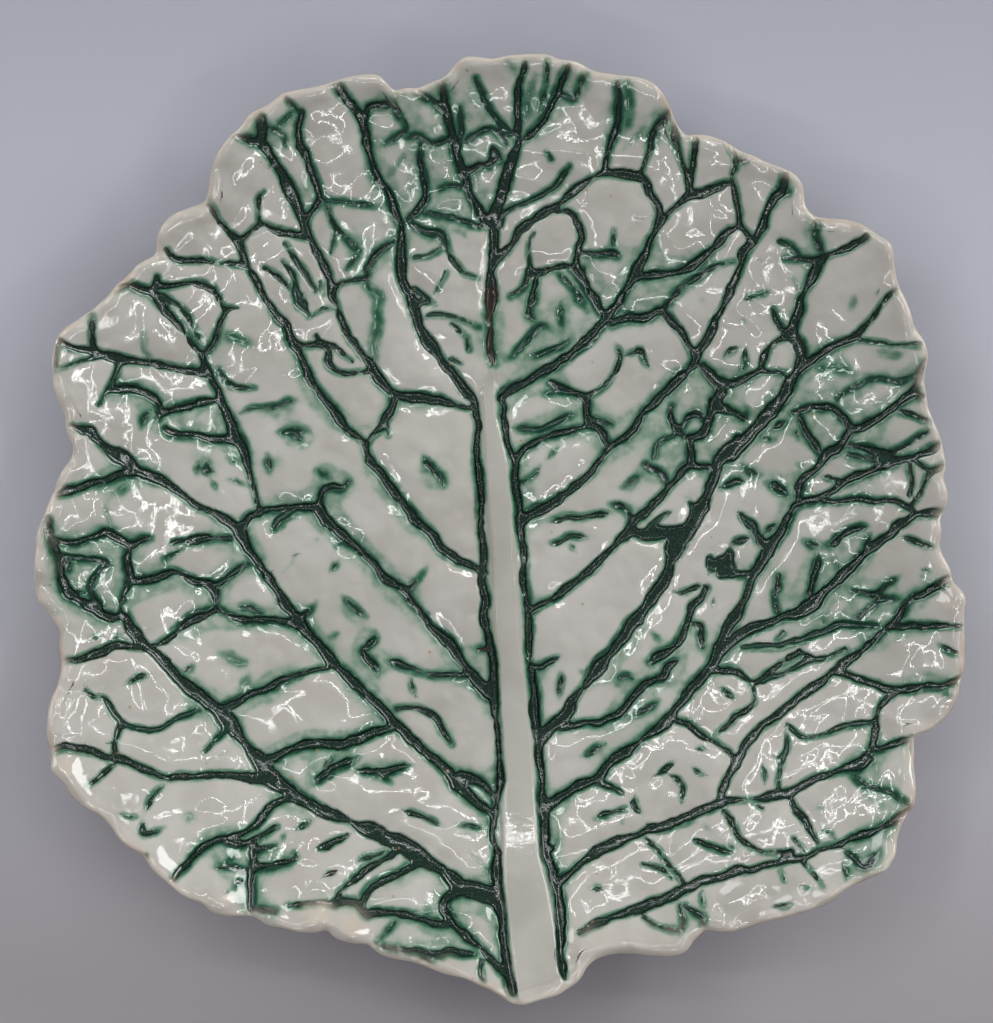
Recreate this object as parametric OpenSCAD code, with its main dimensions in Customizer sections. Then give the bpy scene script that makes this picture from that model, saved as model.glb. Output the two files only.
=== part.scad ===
// Leaf dish, pressed from a cabbage leaf: a slab of clay with the veins sunk
// into it, a luted midrib, a luted foot ring and dark glaze pooled in the veins.
// Face up, +Z up, leaf tip towards +Y, standing on z = 0 at the middle of its box.

/* [Leaf] */
// Length of the leaf from stalk end to tip
leaf_length = 350; // [290:1:420]
// Width of the leaf across its widest lobes
leaf_width = 342; // [285:1:410]
// Thickness of the pressed slab
leaf_wall = 6; // [5:0.5:9]
// Rise of the rim above the middle of the dish
rim_rise = 27; // [15:1:40]
// Height of the waves along the rim
rim_wave = 4; // [0:0.5:6]
// How far the lip is rounded off, above and below
lip_round = 1.25; // [0.5:0.25:1.25]

/* [Veins] */
// Width of a channel where it leaves the midrib
channel_width = 4.2; // [3:0.1:5.5]
// Depth of the channels below the face of the leaf
channel_depth = 2; // [1.4:0.1:2.6]
// How far the pooled glaze stays below the face of the leaf
glaze_gap = 0.7; // [0.2:0.1:1]

/* [Midrib] */
// Width of the midrib at the stalk end
midrib_width = 20; // [14:0.5:28]
// How far the bed that the midrib is luted into lies below the floor of the channels
midrib_bed = 0.6; // [0.4:0.1:0.8]
// How far the midrib stands above the face of the leaf
midrib_proud = 1.4; // [0.8:0.1:3]
// Width of the rounding along the edges of the midrib
midrib_round = 1.2; // [0.5:0.1:1.5]

/* [Foot ring] */
// Outer diameter of the foot ring where it meets the leaf
foot_diameter = 118; // [90:1:130]
// Height of the foot ring
foot_height = 8; // [6:0.5:14]
// Thickness of the foot ring where it meets the leaf
foot_wall = 9; // [7:0.5:12]
// How far each side of the foot ring draws in towards its tread
foot_draft = 1.5; // [0.5:0.25:2]
// Rounding of the tread of the foot ring
foot_round = 1.5; // [0.5:0.25:1.5]

/* [Hidden] */

// Margin of flat underside left outside the foot ring
foot_margin = 6;
// Radius of the flat middle of the dish
flat_radius = foot_diameter/2 + foot_margin;
// Mean radius of the rim
rim_radius = (leaf_width + leaf_length)/4;
// Height of the face of the leaf at the middle
face_height = foot_height + leaf_wall;
// Depth of the midrib's bed
midrib_depth = channel_depth + midrib_bed;
// Overrun of a cut past the face that it opens
overrun = 3;
// Power of the curve that the rim rises along
rise_power = 1.7;
// A turn in a channel, in degrees, that is still left as a plain corner
slight_turn = 12;
// The rounding of the midrib's edges: how much of a narrow end it may take, and where its middle lies
drawn_share = 0.8;
bevel_share = 0.3;
// How far each length of the midrib's strip laps the one before it
strip_lap = 0.4;
// Sides of the foot ring and of the rounding of its tread
foot_sides = 96;
corner_sides = 24;

// The tables below give places as shares, in thousandths of the leaf's width
// (first number) and of its length (second number), from the leaf's middle.
thousand_shares = 1000;

// Shares of the way from the flat middle to the rim at which the slab has a ring of points,
// and how many points of the rim one length of each ring spans (the rim has a multiple of four)
ring_shares = [0, 0.3, 0.55, 0.77, 0.95, 1];
ring_steps = [4, 4, 4, 2, 1, 1];

// The rim, anticlockwise from the right
rim_shares = [
    [475, 0], [477, 13], [482, 33], [478, 50], [480, 68], [474, 97], [461, 127], [456, 155],
    [461, 183], [449, 208], [438, 238], [426, 265], [421, 298], [389, 321], [345, 328],
    [329, 340], [326, 362], [292, 385], [241, 410], [201, 415], [190, 429], [180, 457],
    [158, 474], [97, 484], [62, 496], [25, 500], [-35, 497], [-52, 484], [-84, 465],
    [-115, 461], [-127, 476], [-155, 477], [-222, 461], [-256, 444], [-286, 417],
    [-307, 389], [-315, 352], [-335, 338], [-362, 323], [-371, 290], [-396, 272],
    [-434, 236], [-443, 228], [-469, 211], [-480, 190], [-481, 160], [-474, 130],
    [-468, 105], [-460, 87], [-465, 70], [-477, 52], [-484, 32], [-497, 1], [-501, -25],
    [-501, -62], [-489, -87], [-475, -107], [-476, -128], [-474, -148], [-483, -175],
    [-488, -200], [-489, -215], [-483, -235], [-483, -256], [-466, -272], [-452, -289],
    [-422, -309], [-404, -331], [-386, -341], [-367, -364], [-344, -383], [-319, -394],
    [-304, -405], [-267, -408], [-242, -419], [-212, -425], [-187, -422], [-174, -432],
    [-141, -437], [-127, -449], [-80, -460], [-56, -469], [-35, -473], [-4, -489],
    [19, -500], [61, -490], [84, -477], [93, -461], [112, -450], [150, -449], [196, -447],
    [209, -433], [221, -421], [250, -423], [300, -410], [352, -394], [373, -378],
    [411, -361], [425, -341], [428, -320], [438, -300], [447, -282], [446, -222],
    [470, -207], [486, -191], [495, -166], [500, -140], [500, -95], [501, -72],
    [487, -53], [483, -36], [474, -15]
];

// The midrib's run: middle of the strip and its width as a share of the width at the stalk end
midrib_shares = [
    [-11, 173, 120], [-12, 146, 370], [-8, 104, 460], [-2, 55, 560], [3, -31, 560],
    [12, -155, 640], [20, -243, 700], [24, -346, 800], [33, -413, 950], [45, -505, 1000]
];

// The channels along the midrib's left and right edge: share of the full width at the top and at
// the stalk end, and the share of its half width by which its middle lies outside the edge
edge_shares = [[850, 750], [900, 850]];
outside_share = 0.6;

// The other channels, one row of the list per node that lies in them. Each channel has the share of
// the full width at its start and end, and then the points that it runs through. A main channel
// starts on the midrib's middle, a branch on a point of its own row, and one that joins two rows
// is in the later row and ends on a point of the earlier one.
vein_shares = [
    // The middle vein above the midrib, and its fan at the tip
    [[[1050, 700], [[-9, 150], [-12, 215], [-10, 260], [-8, 288], [-7, 312], [-1, 350], [18, 403],
        [20, 450], [27, 490]]],
     [[600, 500], [[18, 403], [47, 430], [61, 455], [74, 488]]],
     [[650, 600], [[-7, 312], [-34, 359], [-50, 412], [-62, 473]]]],
    // Left 1
    [[[900, 600], [[-8, 104], [-24, 118], [-27, 131], [-40, 152], [-66, 182], [-88, 215],
        [-102, 255], [-110, 315], [-136, 383], [-150, 430], [-177, 468]]],
     [[600, 400], [[-110, 315], [-68, 314], [-46, 276], [-24, 267]]]],
    // Left 2
    [[[650, 650], [[-27, 131], [-60, 134], [-115, 143], [-142, 177], [-175, 227], [-192, 280],
        [-222, 347], [-252, 400], [-258, 432]]]],
    // Left 3
    [[[1000, 700], [[4, -58], [-25, -44], [-60, -22], [-93, 5], [-124, 48], [-145, 86], [-174, 114],
        [-208, 166], [-222, 197], [-257, 247], [-281, 296], [-312, 342]]],
     [[650, 600], [[-222, 197], [-190, 194], [-182, 172], [-142, 177]]],
     [[650, 650], [[-145, 86], [-123, 120], [-115, 143]]]],
    // Left 4
    [[[900, 900], [[14, -196], [-14, -176], [-44, -137], [-84, -91], [-104, -65], [-150, -27],
        [-198, 23], [-262, 21]]],
     [[900, 650], [[-262, 21], [-285, 94], [-318, 166], [-349, 215], [-373, 250], [-413, 252]]],
     [[800, 800], [[-318, 166], [-360, 171], [-413, 179], [-474, 200]]],
     [[650, 600], [[-413, 179], [-421, 150], [-388, 145], [-368, 127]]]],
    // Left 5
    [[[1000, 850], [[22, -318], [-10, -302], [-86, -234], [-118, -204], [-150, -176], [-178, -147],
        [-203, -119], [-219, -98], [-246, -60], [-279, -12], [-297, 8], [-345, 36], [-400, 67],
        [-437, 97], [-461, 109]]],
     [[900, 900], [[-279, -12], [-262, 21]]],
     [[850, 650], [[-400, 67], [-430, 51], [-475, 37]]],
     [[750, 600], [[-219, -98], [-285, -96], [-309, -84], [-312, -61], [-345, -48], [-404, -57]]]],
    // Left 6
    [[[1400, 800], [[28, -402], [-8, -391], [-53, -370], [-86, -348], [-107, -334], [-206, -293],
        [-220, -285], [-250, -266], [-262, -248], [-290, -209], [-304, -195], [-349, -158],
        [-378, -128], [-395, -112], [-408, -96], [-440, -86], [-472, -56], [-481, -20], [-488, 6]]],
     [[700, 600], [[-408, -96], [-405, -45], [-400, -15], [-425, -5], [-455, -13], [-478, -11]]],
     [[850, 600], [[-378, -128], [-399, -125], [-435, -131], [-465, -138]]],
     [[700, 650], [[-378, -128], [-342, -104], [-309, -84]]],
     [[650, 650], [[-304, -195], [-268, -176], [-225, -157], [-178, -147]]],
     [[800, 850], [[-262, -248], [-220, -231], [-170, -228], [-118, -204]]]],
    // Left 7
    [[[1100, 850], [[-250, -266], [-290, -261], [-345, -262], [-413, -243], [-450, -231],
        [-481, -232]]],
     [[650, 500], [[-413, -243], [-409, -206], [-448, -170]]],
     [[600, 500], [[-413, -243], [-449, -271]]]],
    // Left 8
    [[[700, 700], [[-220, -285], [-257, -305], [-305, -327], [-350, -369]]],
     [[700, 700], [[-305, -327], [-283, -331], [-267, -336], [-269, -402]]]],
    // Left 9
    [[[800, 700], [[-53, -370], [-61, -398], [-55, -412], [-39, -429], [-17, -447], [11, -473]]],
     [[800, 700], [[-55, -412], [-105, -408], [-150, -401], [-180, -399], [-225, -396]]],
     [[750, 700], [[-107, -334], [-140, -360], [-180, -399]]],
     [[700, 700], [[-86, -348], [-130, -376], [-150, -401]]],
     [[650, 600], [[-17, -447], [-85, -445], [-130, -438]]]],
    // Right 1
    [[[1100, 700], [[-9, 128], [9, 145], [30, 157], [68, 182], [110, 219], [142, 261], [169, 317],
        [207, 354], [243, 364]]],
     [[700, 550], [[110, 219], [90, 270], [84, 310], [55, 340]]],
     [[550, 700], [[169, 317], [160, 364], [124, 377], [90, 365], [55, 340], [20, 312],
        [-8, 288]]]],
    // Right 2
    [[[1200, 750], [[1, -12], [30, 10], [66, 34], [103, 65], [118, 86], [153, 117], [215, 184],
        [241, 232], [272, 301], [306, 370]]],
     [[650, 650], [[-2, 55], [30, 88], [65, 102], [98, 110]]],
     [[750, 700], [[118, 86], [98, 110], [92, 139], [57, 157]]],
     [[700, 700], [[215, 184], [174, 231], [110, 219]]]],
    // Right 3
    [[[850, 900], [[7, -104], [32, -86], [88, -53], [133, -9], [151, 13], [194, 54], [209, 96],
        [236, 135], [238, 153], [285, 168], [292, 192], [306, 202]]]],
    // Right 4
    [[[1200, 1300], [[18, -252], [45, -228], [77, -188], [120, -135], [153, -91], [183, -45],
        [190, -18], [212, 10], [235, 55], [283, 110], [310, 146]]],
     [[1000, 650], [[310, 146], [321, 165], [326, 186], [318, 212], [341, 268], [351, 289],
        [391, 307]]],
     [[800, 700], [[321, 165], [351, 189], [394, 213], [427, 250]]]],
    // Right 5
    [[[900, 1000], [[235, -140], [257, -90], [279, -44], [297, -15], [316, 16], [325, 26],
        [335, 32], [388, 55], [430, 73], [471, 87]]],
     [[900, 700], [[325, 26], [327, 44], [335, 60], [356, 84], [383, 106], [429, 131], [452, 156],
        [457, 175]]]],
    // Right 6
    [[[1200, 900], [[22, -320], [48, -300], [75, -282], [119, -250], [162, -220], [183, -202],
        [235, -140], [267, -110], [318, -91], [356, -63], [427, -2], [450, 14], [473, 15]]]],
    // Right 7
    [[[900, 800], [[239, -288], [252, -252], [272, -223], [306, -193], [351, -162], [421, -104],
        [437, -82], [483, -53]]],
     [[850, 700], [[421, -104], [498, -102]]],
     [[800, 650], [[351, -162], [387, -158], [425, -170], [461, -165], [494, -158]]],
     [[700, 600], [[252, -252], [241, -232], [183, -202]]]],
    // Right 8
    [[[1100, 750], [[29, -400], [66, -375], [95, -349], [138, -328], [185, -313], [239, -288],
        [290, -283], [313, -277], [334, -267], [382, -252], [402, -227], [406, -200],
        [425, -170]]],
     [[650, 600], [[402, -227], [444, -221]]]],
    // Right 9
    [[[700, 800], [[86, -426], [126, -410], [176, -393], [195, -384], [212, -376], [261, -361],
        [311, -349], [344, -338], [416, -309], [438, -300]]],
     [[900, 900], [[344, -338], [313, -277]]],
     [[750, 750], [[311, -349], [263, -329], [239, -288]]],
     [[650, 650], [[195, -384], [218, -406], [220, -417]]]]
];

// Place on the leaf in millimetres of a place given in shares
function place(p) = [p[0]*leaf_width/thousand_shares, p[1]*leaf_length/thousand_shares];

// How far out a place lies: 0 in the flat middle, 1 at the mean rim
function reach(p) = max(0, (norm(p) - flat_radius)/(rim_radius - flat_radius));

// Waves along the rim, as a share of their full height
function wave(a) = 0.6*sin(3*a + 40) + 0.5*sin(5*a - 20) + 0.35*sin(8*a + 100);

// Height of the face of the leaf at a place
function face(p) = face_height + rim_rise*pow(reach(p), rise_power)
    + rim_wave*pow(reach(p), 2)*wave(atan2(p[1], p[0]));

rim = [for (p = rim_shares) place(p)];
sides = len(rim);
rings = len(ring_shares);

// Place of point i of ring k, between the flat middle and the rim
function ring_place(k, i) =
    let (edge = rim[i % sides], inner = flat_radius*edge/norm(edge))
    inner + ring_shares[k]*(edge - inner);

// How far ring k is rounded off: only the rim itself
function rounding(k) = k == rings - 1 ? lip_round : 0;

function face_points() = [for (k = [0:rings - 1], i = [0:sides - 1])
    let (p = ring_place(k, i)) [p[0], p[1], face(p) - rounding(k)]];

function back_points() = [for (k = [0:rings - 1], i = [0:sides - 1])
    let (p = ring_place(k, i)) [p[0], p[1], face(p) - leaf_wall + rounding(k)]];

// Number of point i of ring k, on the face (side 0) or on the back (side 1)
function number(side, k, i) = (side*rings + k)*sides + i % sides;

// The faces between ring k and the next one out: on each length of the inner ring stands one
// triangle to the outer ring, and a fan of them from its start over the lengths of the outer ring
function ring_faces(side, k) =
    let (long = ring_steps[k], short = ring_steps[k + 1])
    concat(
        [for (i = [0:long:sides - 1])
            [number(side, k, i), number(side, k, i + long), number(side, k + 1, i + long)]],
        [for (i = [0:long:sides - 1], j = [0:short:long - 1])
            [number(side, k, i), number(side, k + 1, i + j + short), number(side, k + 1, i + j)]]);

// The same face seen from its other side
function turned(face) = [for (i = [len(face) - 1:-1:0]) face[i]];

// The pressed slab, without its veins
module slab() {
    last = rings - 1;
    middle = [for (i = [0:ring_steps[0]:sides - 1]) i];
    polyhedron(
        points = concat(face_points(), back_points()),
        faces = concat(
            [turned([for (i = middle) number(0, 0, i)])],
            [[for (i = middle) number(1, 0, i)]],
            [for (k = [0:last - 1]) each ring_faces(0, k)],
            [for (k = [0:last - 1], f = ring_faces(1, k)) turned(f)],
            [for (i = [0:sides - 1])
                [number(0, last, i), number(0, last, i + 1), number(1, last, i + 1)]],
            [for (i = [0:sides - 1])
                [number(0, last, i), number(1, last, i + 1), number(1, last, i)]]
        ));
}

// Place halfway between b and c on a smooth run through a, b, c and d
function halfway(a, b, c, d) = (9*(b + c) - a - d)/16;

// How far a run turns at its point i, in degrees
function turn(points, i) =
    i <= 0 || i >= len(points) - 1 ? 0
        : let (before = points[i] - points[i - 1], ahead = points[i + 1] - points[i])
        acos(max(-1, min(1, before*ahead/norm(before)/norm(ahead))));

// A smooth run through a channel's points, with one more place on each side of a sharp turn
function smooth_run(points) =
    let (last = len(points) - 1)
    concat(
        [for (i = [0:last - 1])
            each max(turn(points, i), turn(points, i + 1)) < slight_turn ? [points[i]]
                : [points[i], halfway(points[max(i - 1, 0)], points[i], points[i + 1],
                    points[min(i + 2, last)])]],
        [points[last]]);

// The two upper corners, left and right, of the upright section across a run at point i
function across(run, i, half_width) =
    let (ahead = run[min(i + 1, len(run) - 1)] - run[max(i - 1, 0)],
        side = [-ahead[1], ahead[0]]/norm(ahead)*half_width)
    [run[i] + side, run[i] - side];

// A corner that lies a given height above or below the face of the leaf
function corner(p, height) = [p[0], p[1], face(p) + height];

// Number of corner c of section i in a channel: left low, left high, right low, right high
function corner_number(i, c) = 4*i + c;

// One channel along a run, from its floor, a depth below the face of the leaf, up to a height
// above or below that face. The shares are those of the full width at its two ends.
module channel(points, end_shares, floor, top) {
    run = smooth_run(points);
    last = len(run) - 1;
    widths = [for (i = [0:last])
        channel_width/thousand_shares*(end_shares[0] + (end_shares[1] - end_shares[0])*i/last)];
    polyhedron(
        points = [for (i = [0:last], p = across(run, i, widths[i]/2), height = [-floor, top])
            corner(p, height)],
        faces = concat(
            [[for (c = [0, 1, 3, 2]) corner_number(0, c)]],
            [[for (c = [2, 3, 1, 0]) corner_number(last, c)]],
            [for (i = [0:last - 1]) [corner_number(i + 1, 0), corner_number(i + 1, 1),
                corner_number(i, 1), corner_number(i, 0)]],
            [for (i = [0:last - 1]) [corner_number(i, 2), corner_number(i, 3),
                corner_number(i + 1, 3), corner_number(i + 1, 2)]],
            [for (i = [0:last - 1])
                [corner_number(i, 1), corner_number(i + 1, 1), corner_number(i + 1, 3)]],
            [for (i = [0:last - 1])
                [corner_number(i, 1), corner_number(i + 1, 3), corner_number(i, 3)]],
            [for (i = [0:last - 1])
                [corner_number(i, 0), corner_number(i, 2), corner_number(i + 1, 2)]],
            [for (i = [0:last - 1])
                [corner_number(i, 0), corner_number(i + 1, 2), corner_number(i + 1, 0)]]
        ));
}

// The channels of one node: first those along the midrib's edges, then the rows of the list
module channels(number, floor, top)
    if (number < len(edge_shares)) {
        shares = edge_shares[number];
        outside = outside_share*channel_width*max(shares)/thousand_shares/2;
        channel([for (i = [1:len(midrib_shares) - 1])
            across([for (s = midrib_shares) place(s)], i, midrib_half(i) + outside)[number]],
            shares, floor, top);
    } else
        for (row = vein_shares[number - len(edge_shares)])
            channel([for (p = row[1]) place(p)], row[0], floor, top);

// Half the width of the midrib at station i
function midrib_half(i) = midrib_width*midrib_shares[i][2]/thousand_shares/2;

// The corners of the midrib's section near station i, from its bed up to its top on both sides.
// It stands a given way back from the station, along the run.
function midrib_section(i, back, bed, top, round_in) =
    let (run = [for (s = midrib_shares) place(s)],
        half = midrib_half(i),
        drawn = min(round_in, half*drawn_share),
        ahead = run[min(i + 1, len(run) - 1)] - run[max(i - 1, 0)],
        shift = ahead/norm(ahead)*back,
        sides = [[-half, -bed], [-half, top - round_in],
            [drawn*bevel_share - half, top - round_in*bevel_share], [drawn - half, top]])
    [for (c = sides, side = [-1, 1])
        let (p = run[i] - shift + side*c[0]*[-ahead[1], ahead[0]]/norm(ahead))
        corner(p, c[1])];

// The midrib's strip, hulled from section to section. Each length laps the one before it. Its bed
// lies a depth below the face of the leaf.
module midrib_strip(bed, top, round_in)
    for (i = [0:len(midrib_shares) - 2]) {
        corners = concat(midrib_section(i, strip_lap, bed, top, round_in),
            midrib_section(i + 1, 0, bed, top, round_in));
        // A hull takes its corners from the faces, so a fan of triangles names them all
        hull()
            polyhedron(points = corners, faces = [for (c = [2:len(corners) - 1]) [0, c - 1, c]]);
    }

// Everything within the rim, to the full height of the dish
module within_rim()
    linear_extrude(height = face_height + 2*rim_rise + 2*rim_wave)
        polygon(rim);

module leaf_body()
    color("#c2bcb4")
        difference() {
            slab();
            for (n = [0:len(edge_shares) + len(vein_shares) - 1])
                channels(n, channel_depth, overrun);
            midrib_strip(midrib_depth, overrun, 0);
        }

module midrib()
    color("#bab6ad")
        intersection() {
            midrib_strip(midrib_depth, midrib_proud, midrib_round);
            within_rim();
        }

module foot_ring() {
    inner = foot_diameter/2 - foot_wall;
    color("#c9bba8")
        rotate_extrude($fn = foot_sides)
            hull() {
                translate([inner, foot_height - foot_draft])
                    square([foot_wall, foot_draft]);
                translate([inner + foot_draft + foot_round, foot_round])
                    circle(r = foot_round, $fn = corner_sides);
                translate([inner + foot_wall - foot_draft - foot_round, foot_round])
                    circle(r = foot_round, $fn = corner_sides);
            }
}

// The glaze pooled in one row of channels, less the rows before it, which it runs into
module pooled_glaze(number)
    color("#1f3a33")
        intersection() {
            difference() {
                channels(number, channel_depth, -glaze_gap);
                for (n = [0:1:number - 1])
                    channels(n, channel_depth + overrun, overrun);
                midrib_strip(midrib_depth + overrun, overrun, 0);
            }
            slab();
        }

module midrib_glaze_left() pooled_glaze(0);
module midrib_glaze_right() pooled_glaze(1);
module vein_glaze_middle() pooled_glaze(2);
module vein_glaze_left_1() pooled_glaze(3);
module vein_glaze_left_2() pooled_glaze(4);
module vein_glaze_left_3() pooled_glaze(5);
module vein_glaze_left_4() pooled_glaze(6);
module vein_glaze_left_5() pooled_glaze(7);
module vein_glaze_left_6() pooled_glaze(8);
module vein_glaze_left_7() pooled_glaze(9);
module vein_glaze_left_8() pooled_glaze(10);
module vein_glaze_left_9() pooled_glaze(11);
module vein_glaze_right_1() pooled_glaze(12);
module vein_glaze_right_2() pooled_glaze(13);
module vein_glaze_right_3() pooled_glaze(14);
module vein_glaze_right_4() pooled_glaze(15);
module vein_glaze_right_5() pooled_glaze(16);
module vein_glaze_right_6() pooled_glaze(17);
module vein_glaze_right_7() pooled_glaze(18);
module vein_glaze_right_8() pooled_glaze(19);
module vein_glaze_right_9() pooled_glaze(20);

leaf_body();
midrib();
foot_ring();
midrib_glaze_left();
midrib_glaze_right();
vein_glaze_middle();
vein_glaze_left_1();
vein_glaze_left_2();
vein_glaze_left_3();
vein_glaze_left_4();
vein_glaze_left_5();
vein_glaze_left_6();
vein_glaze_left_7();
vein_glaze_left_8();
vein_glaze_left_9();
vein_glaze_right_1();
vein_glaze_right_2();
vein_glaze_right_3();
vein_glaze_right_4();
vein_glaze_right_5();
vein_glaze_right_6();
vein_glaze_right_7();
vein_glaze_right_8();
vein_glaze_right_9();
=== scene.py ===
import logging
import math
import re
from dataclasses import dataclass, field
from enum import Enum

import bmesh
import bpy
import numpy as np
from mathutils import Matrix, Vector


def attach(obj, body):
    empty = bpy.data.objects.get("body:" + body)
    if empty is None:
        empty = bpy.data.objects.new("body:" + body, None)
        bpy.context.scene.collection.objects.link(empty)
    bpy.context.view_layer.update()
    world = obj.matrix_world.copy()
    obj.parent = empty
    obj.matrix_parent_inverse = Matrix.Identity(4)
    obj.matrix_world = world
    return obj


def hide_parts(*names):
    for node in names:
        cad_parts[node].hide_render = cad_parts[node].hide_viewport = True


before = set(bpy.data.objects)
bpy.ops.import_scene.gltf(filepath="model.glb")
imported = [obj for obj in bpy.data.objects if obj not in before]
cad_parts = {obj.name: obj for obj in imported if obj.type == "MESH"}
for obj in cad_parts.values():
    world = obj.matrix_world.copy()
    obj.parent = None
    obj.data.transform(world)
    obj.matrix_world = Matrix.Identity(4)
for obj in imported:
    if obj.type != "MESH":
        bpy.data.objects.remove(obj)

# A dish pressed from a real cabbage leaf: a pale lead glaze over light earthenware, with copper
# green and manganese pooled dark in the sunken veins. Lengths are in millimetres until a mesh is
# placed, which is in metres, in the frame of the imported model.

log = logging.getLogger("leaf_dish")
METRE = 1000.0  # millimetres
SHARES = 1000  # the places in the tables are in thousandths
FAR = 9.0  # farther out than any pool reaches, in half widths or in millimetres
STRIDE = 2  # cells of the raster to one face of the coat

# The outline of the leaf, anticlockwise from its right side, as shares in thousandths of the
# leaf's width and length from its middle, as read off the real dish.
OUTLINE = """
476,0 474,8 475,13 477,17 480,23 482,30 482,37 481,44 478,50 477,55 480,62 480,69 479,76 477,83
476,90 474,97 472,103 469,109 466,115 464,121 461,127 460,134 459,141 458,148 456,155 457,162
458,169 460,176 461,183 459,190 457,197 454,202 449,208 445,215 443,222 441,231 438,238 435,245
430,252 426,265 424,277 423,289 421,298 417,303 407,308 398,315 389,321 376,325 362,327 342,328
335,333 329,340 328,350 327,361 322,370 315,376 306,380 292,385 285,388 272,394 261,398 250,405
241,410 228,415 215,417 208,416 201,415 196,421 191,427 187,437 184,446 181,450 176,460 169,468
158,474 144,477 129,478 108,481 97,484 88,490 79,493 63,494 56,498 49,500 25,499 9,498 0,496
-8,494 -21,496 -30,497 -41,496 -48,490 -53,483 -61,475 -70,472 -80,468 -89,464 -102,465 -110,462
-115,461 -121,468 -127,476 -136,479 -152,478 -167,475 -179,471 -188,468 -200,465 -222,461
-233,459 -241,453 -252,445 -263,440 -272,435 -275,429 -282,420 -290,414 -297,406 -303,398
-306,391 -310,380 -313,370 -313,360 -316,352 -317,345 -326,341 -338,337 -349,333 -358,327
-365,319 -369,310 -370,301 -370,292 -374,287 -383,283 -392,278 -396,272 -404,265 -413,257
-421,247 -426,242 -434,236 -439,230 -443,229 -447,226 -451,223 -457,218 -463,215 -469,211
-473,206 -476,202 -479,196 -480,190 -481,183 -482,177 -482,171 -481,166 -481,160 -482,153
-480,147 -478,141 -476,135 -474,130 -471,124 -468,120 -468,109 -467,102 -465,97 -462,93 -460,87
-461,78 -464,72 -468,67 -472,62 -475,57 -477,51 -478,46 -479,41 -482,36 -485,30 -488,24 -490,18
-492,12 -495,7 -497,1 -499,-3 -500,-12 -500,-21 -501,-31 -502,-40 -502,-48 -501,-60 -500,-67
-499,-74 -497,-79 -493,-83 -489,-87 -486,-91 -482,-97 -478,-103 -474,-109 -475,-115 -476,-123
-476,-130 -474,-137 -474,-150 -476,-157 -477,-163 -479,-169 -483,-175 -485,-181 -487,-188
-488,-197 -488,-205 -489,-214 -488,-222 -485,-227 -483,-233 -483,-241 -484,-250 -484,-255
-479,-259 -473,-264 -468,-269 -464,-275 -460,-282 -453,-288 -444,-294 -435,-298 -428,-303
-422,-309 -417,-315 -413,-321 -408,-327 -403,-332 -396,-337 -387,-340 -382,-344 -379,-350
-374,-357 -367,-364 -359,-370 -352,-376 -345,-382 -336,-388 -326,-391 -319,-394 -315,-398
-308,-404 -299,-406 -288,-407 -267,-407 -259,-411 -251,-417 -242,-419 -233,-420 -224,-423
-214,-425 -201,-426 -190,-423 -187,-422 -183,-427 -176,-432 -167,-435 -156,-437 -145,-437
-141,-438 -136,-443 -129,-448 -118,-452 -107,-454 -98,-455 -88,-458 -79,-461 -70,-465 -59,-469
-48,-471 -37,-473 -28,-477 -19,-482 -10,-485 -1,-490 6,-494 11,-499 19,-500 27,-500 34,-498
43,-495 52,-493 61,-491 68,-487 75,-483 83,-478 87,-474 90,-468 93,-462 101,-455 110,-451
119,-449 129,-448 142,-448 155,-449 167,-450 189,-450 198,-447 205,-441 208,-434 212,-431
218,-426 221,-421 228,-424 236,-425 250,-424 261,-421 270,-419 279,-415 288,-412 299,-410
310,-408 320,-404 331,-401 342,-397 351,-394 357,-390 362,-385 367,-381 374,-377 383,-372
392,-368 401,-364 411,-361 417,-357 420,-350 425,-343 426,-336 426,-329 427,-324 429,-317
432,-310 435,-304 437,-300 443,-295 446,-290 447,-281 448,-273 447,-262 446,-250 446,-222
448,-217 454,-215 460,-214 466,-211 473,-205 480,-200 485,-193 489,-186 492,-179 495,-170
495,-162 498,-154 500,-146 500,-102 500,-84 502,-77 501,-70 499,-65 492,-60 487,-55 486,-48
486,-42 482,-36 479,-31 476,-24 473,-17 475,-9
"""

# The midrib's two edges, from its point near the middle down to the stalk end, in the same shares.
MIDRIB_LEFT = """
-11,173 -24,143 -19,55 -13,-31 -10,-115 -5,-144 -4,-189 0,-243 2,-268 -1,-286 -1,-331 -1,-373
5,-413 8,-449 17,-499
"""
MIDRIB_RIGHT = """
-11,173 -4,170 0,143 1,117 13,71 19,24 20,-32 23,-56 26,-115 32,-159 35,-189 40,-233 42,-277
47,-346 56,-377 64,-422 69,-468 73,-477
"""

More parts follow.
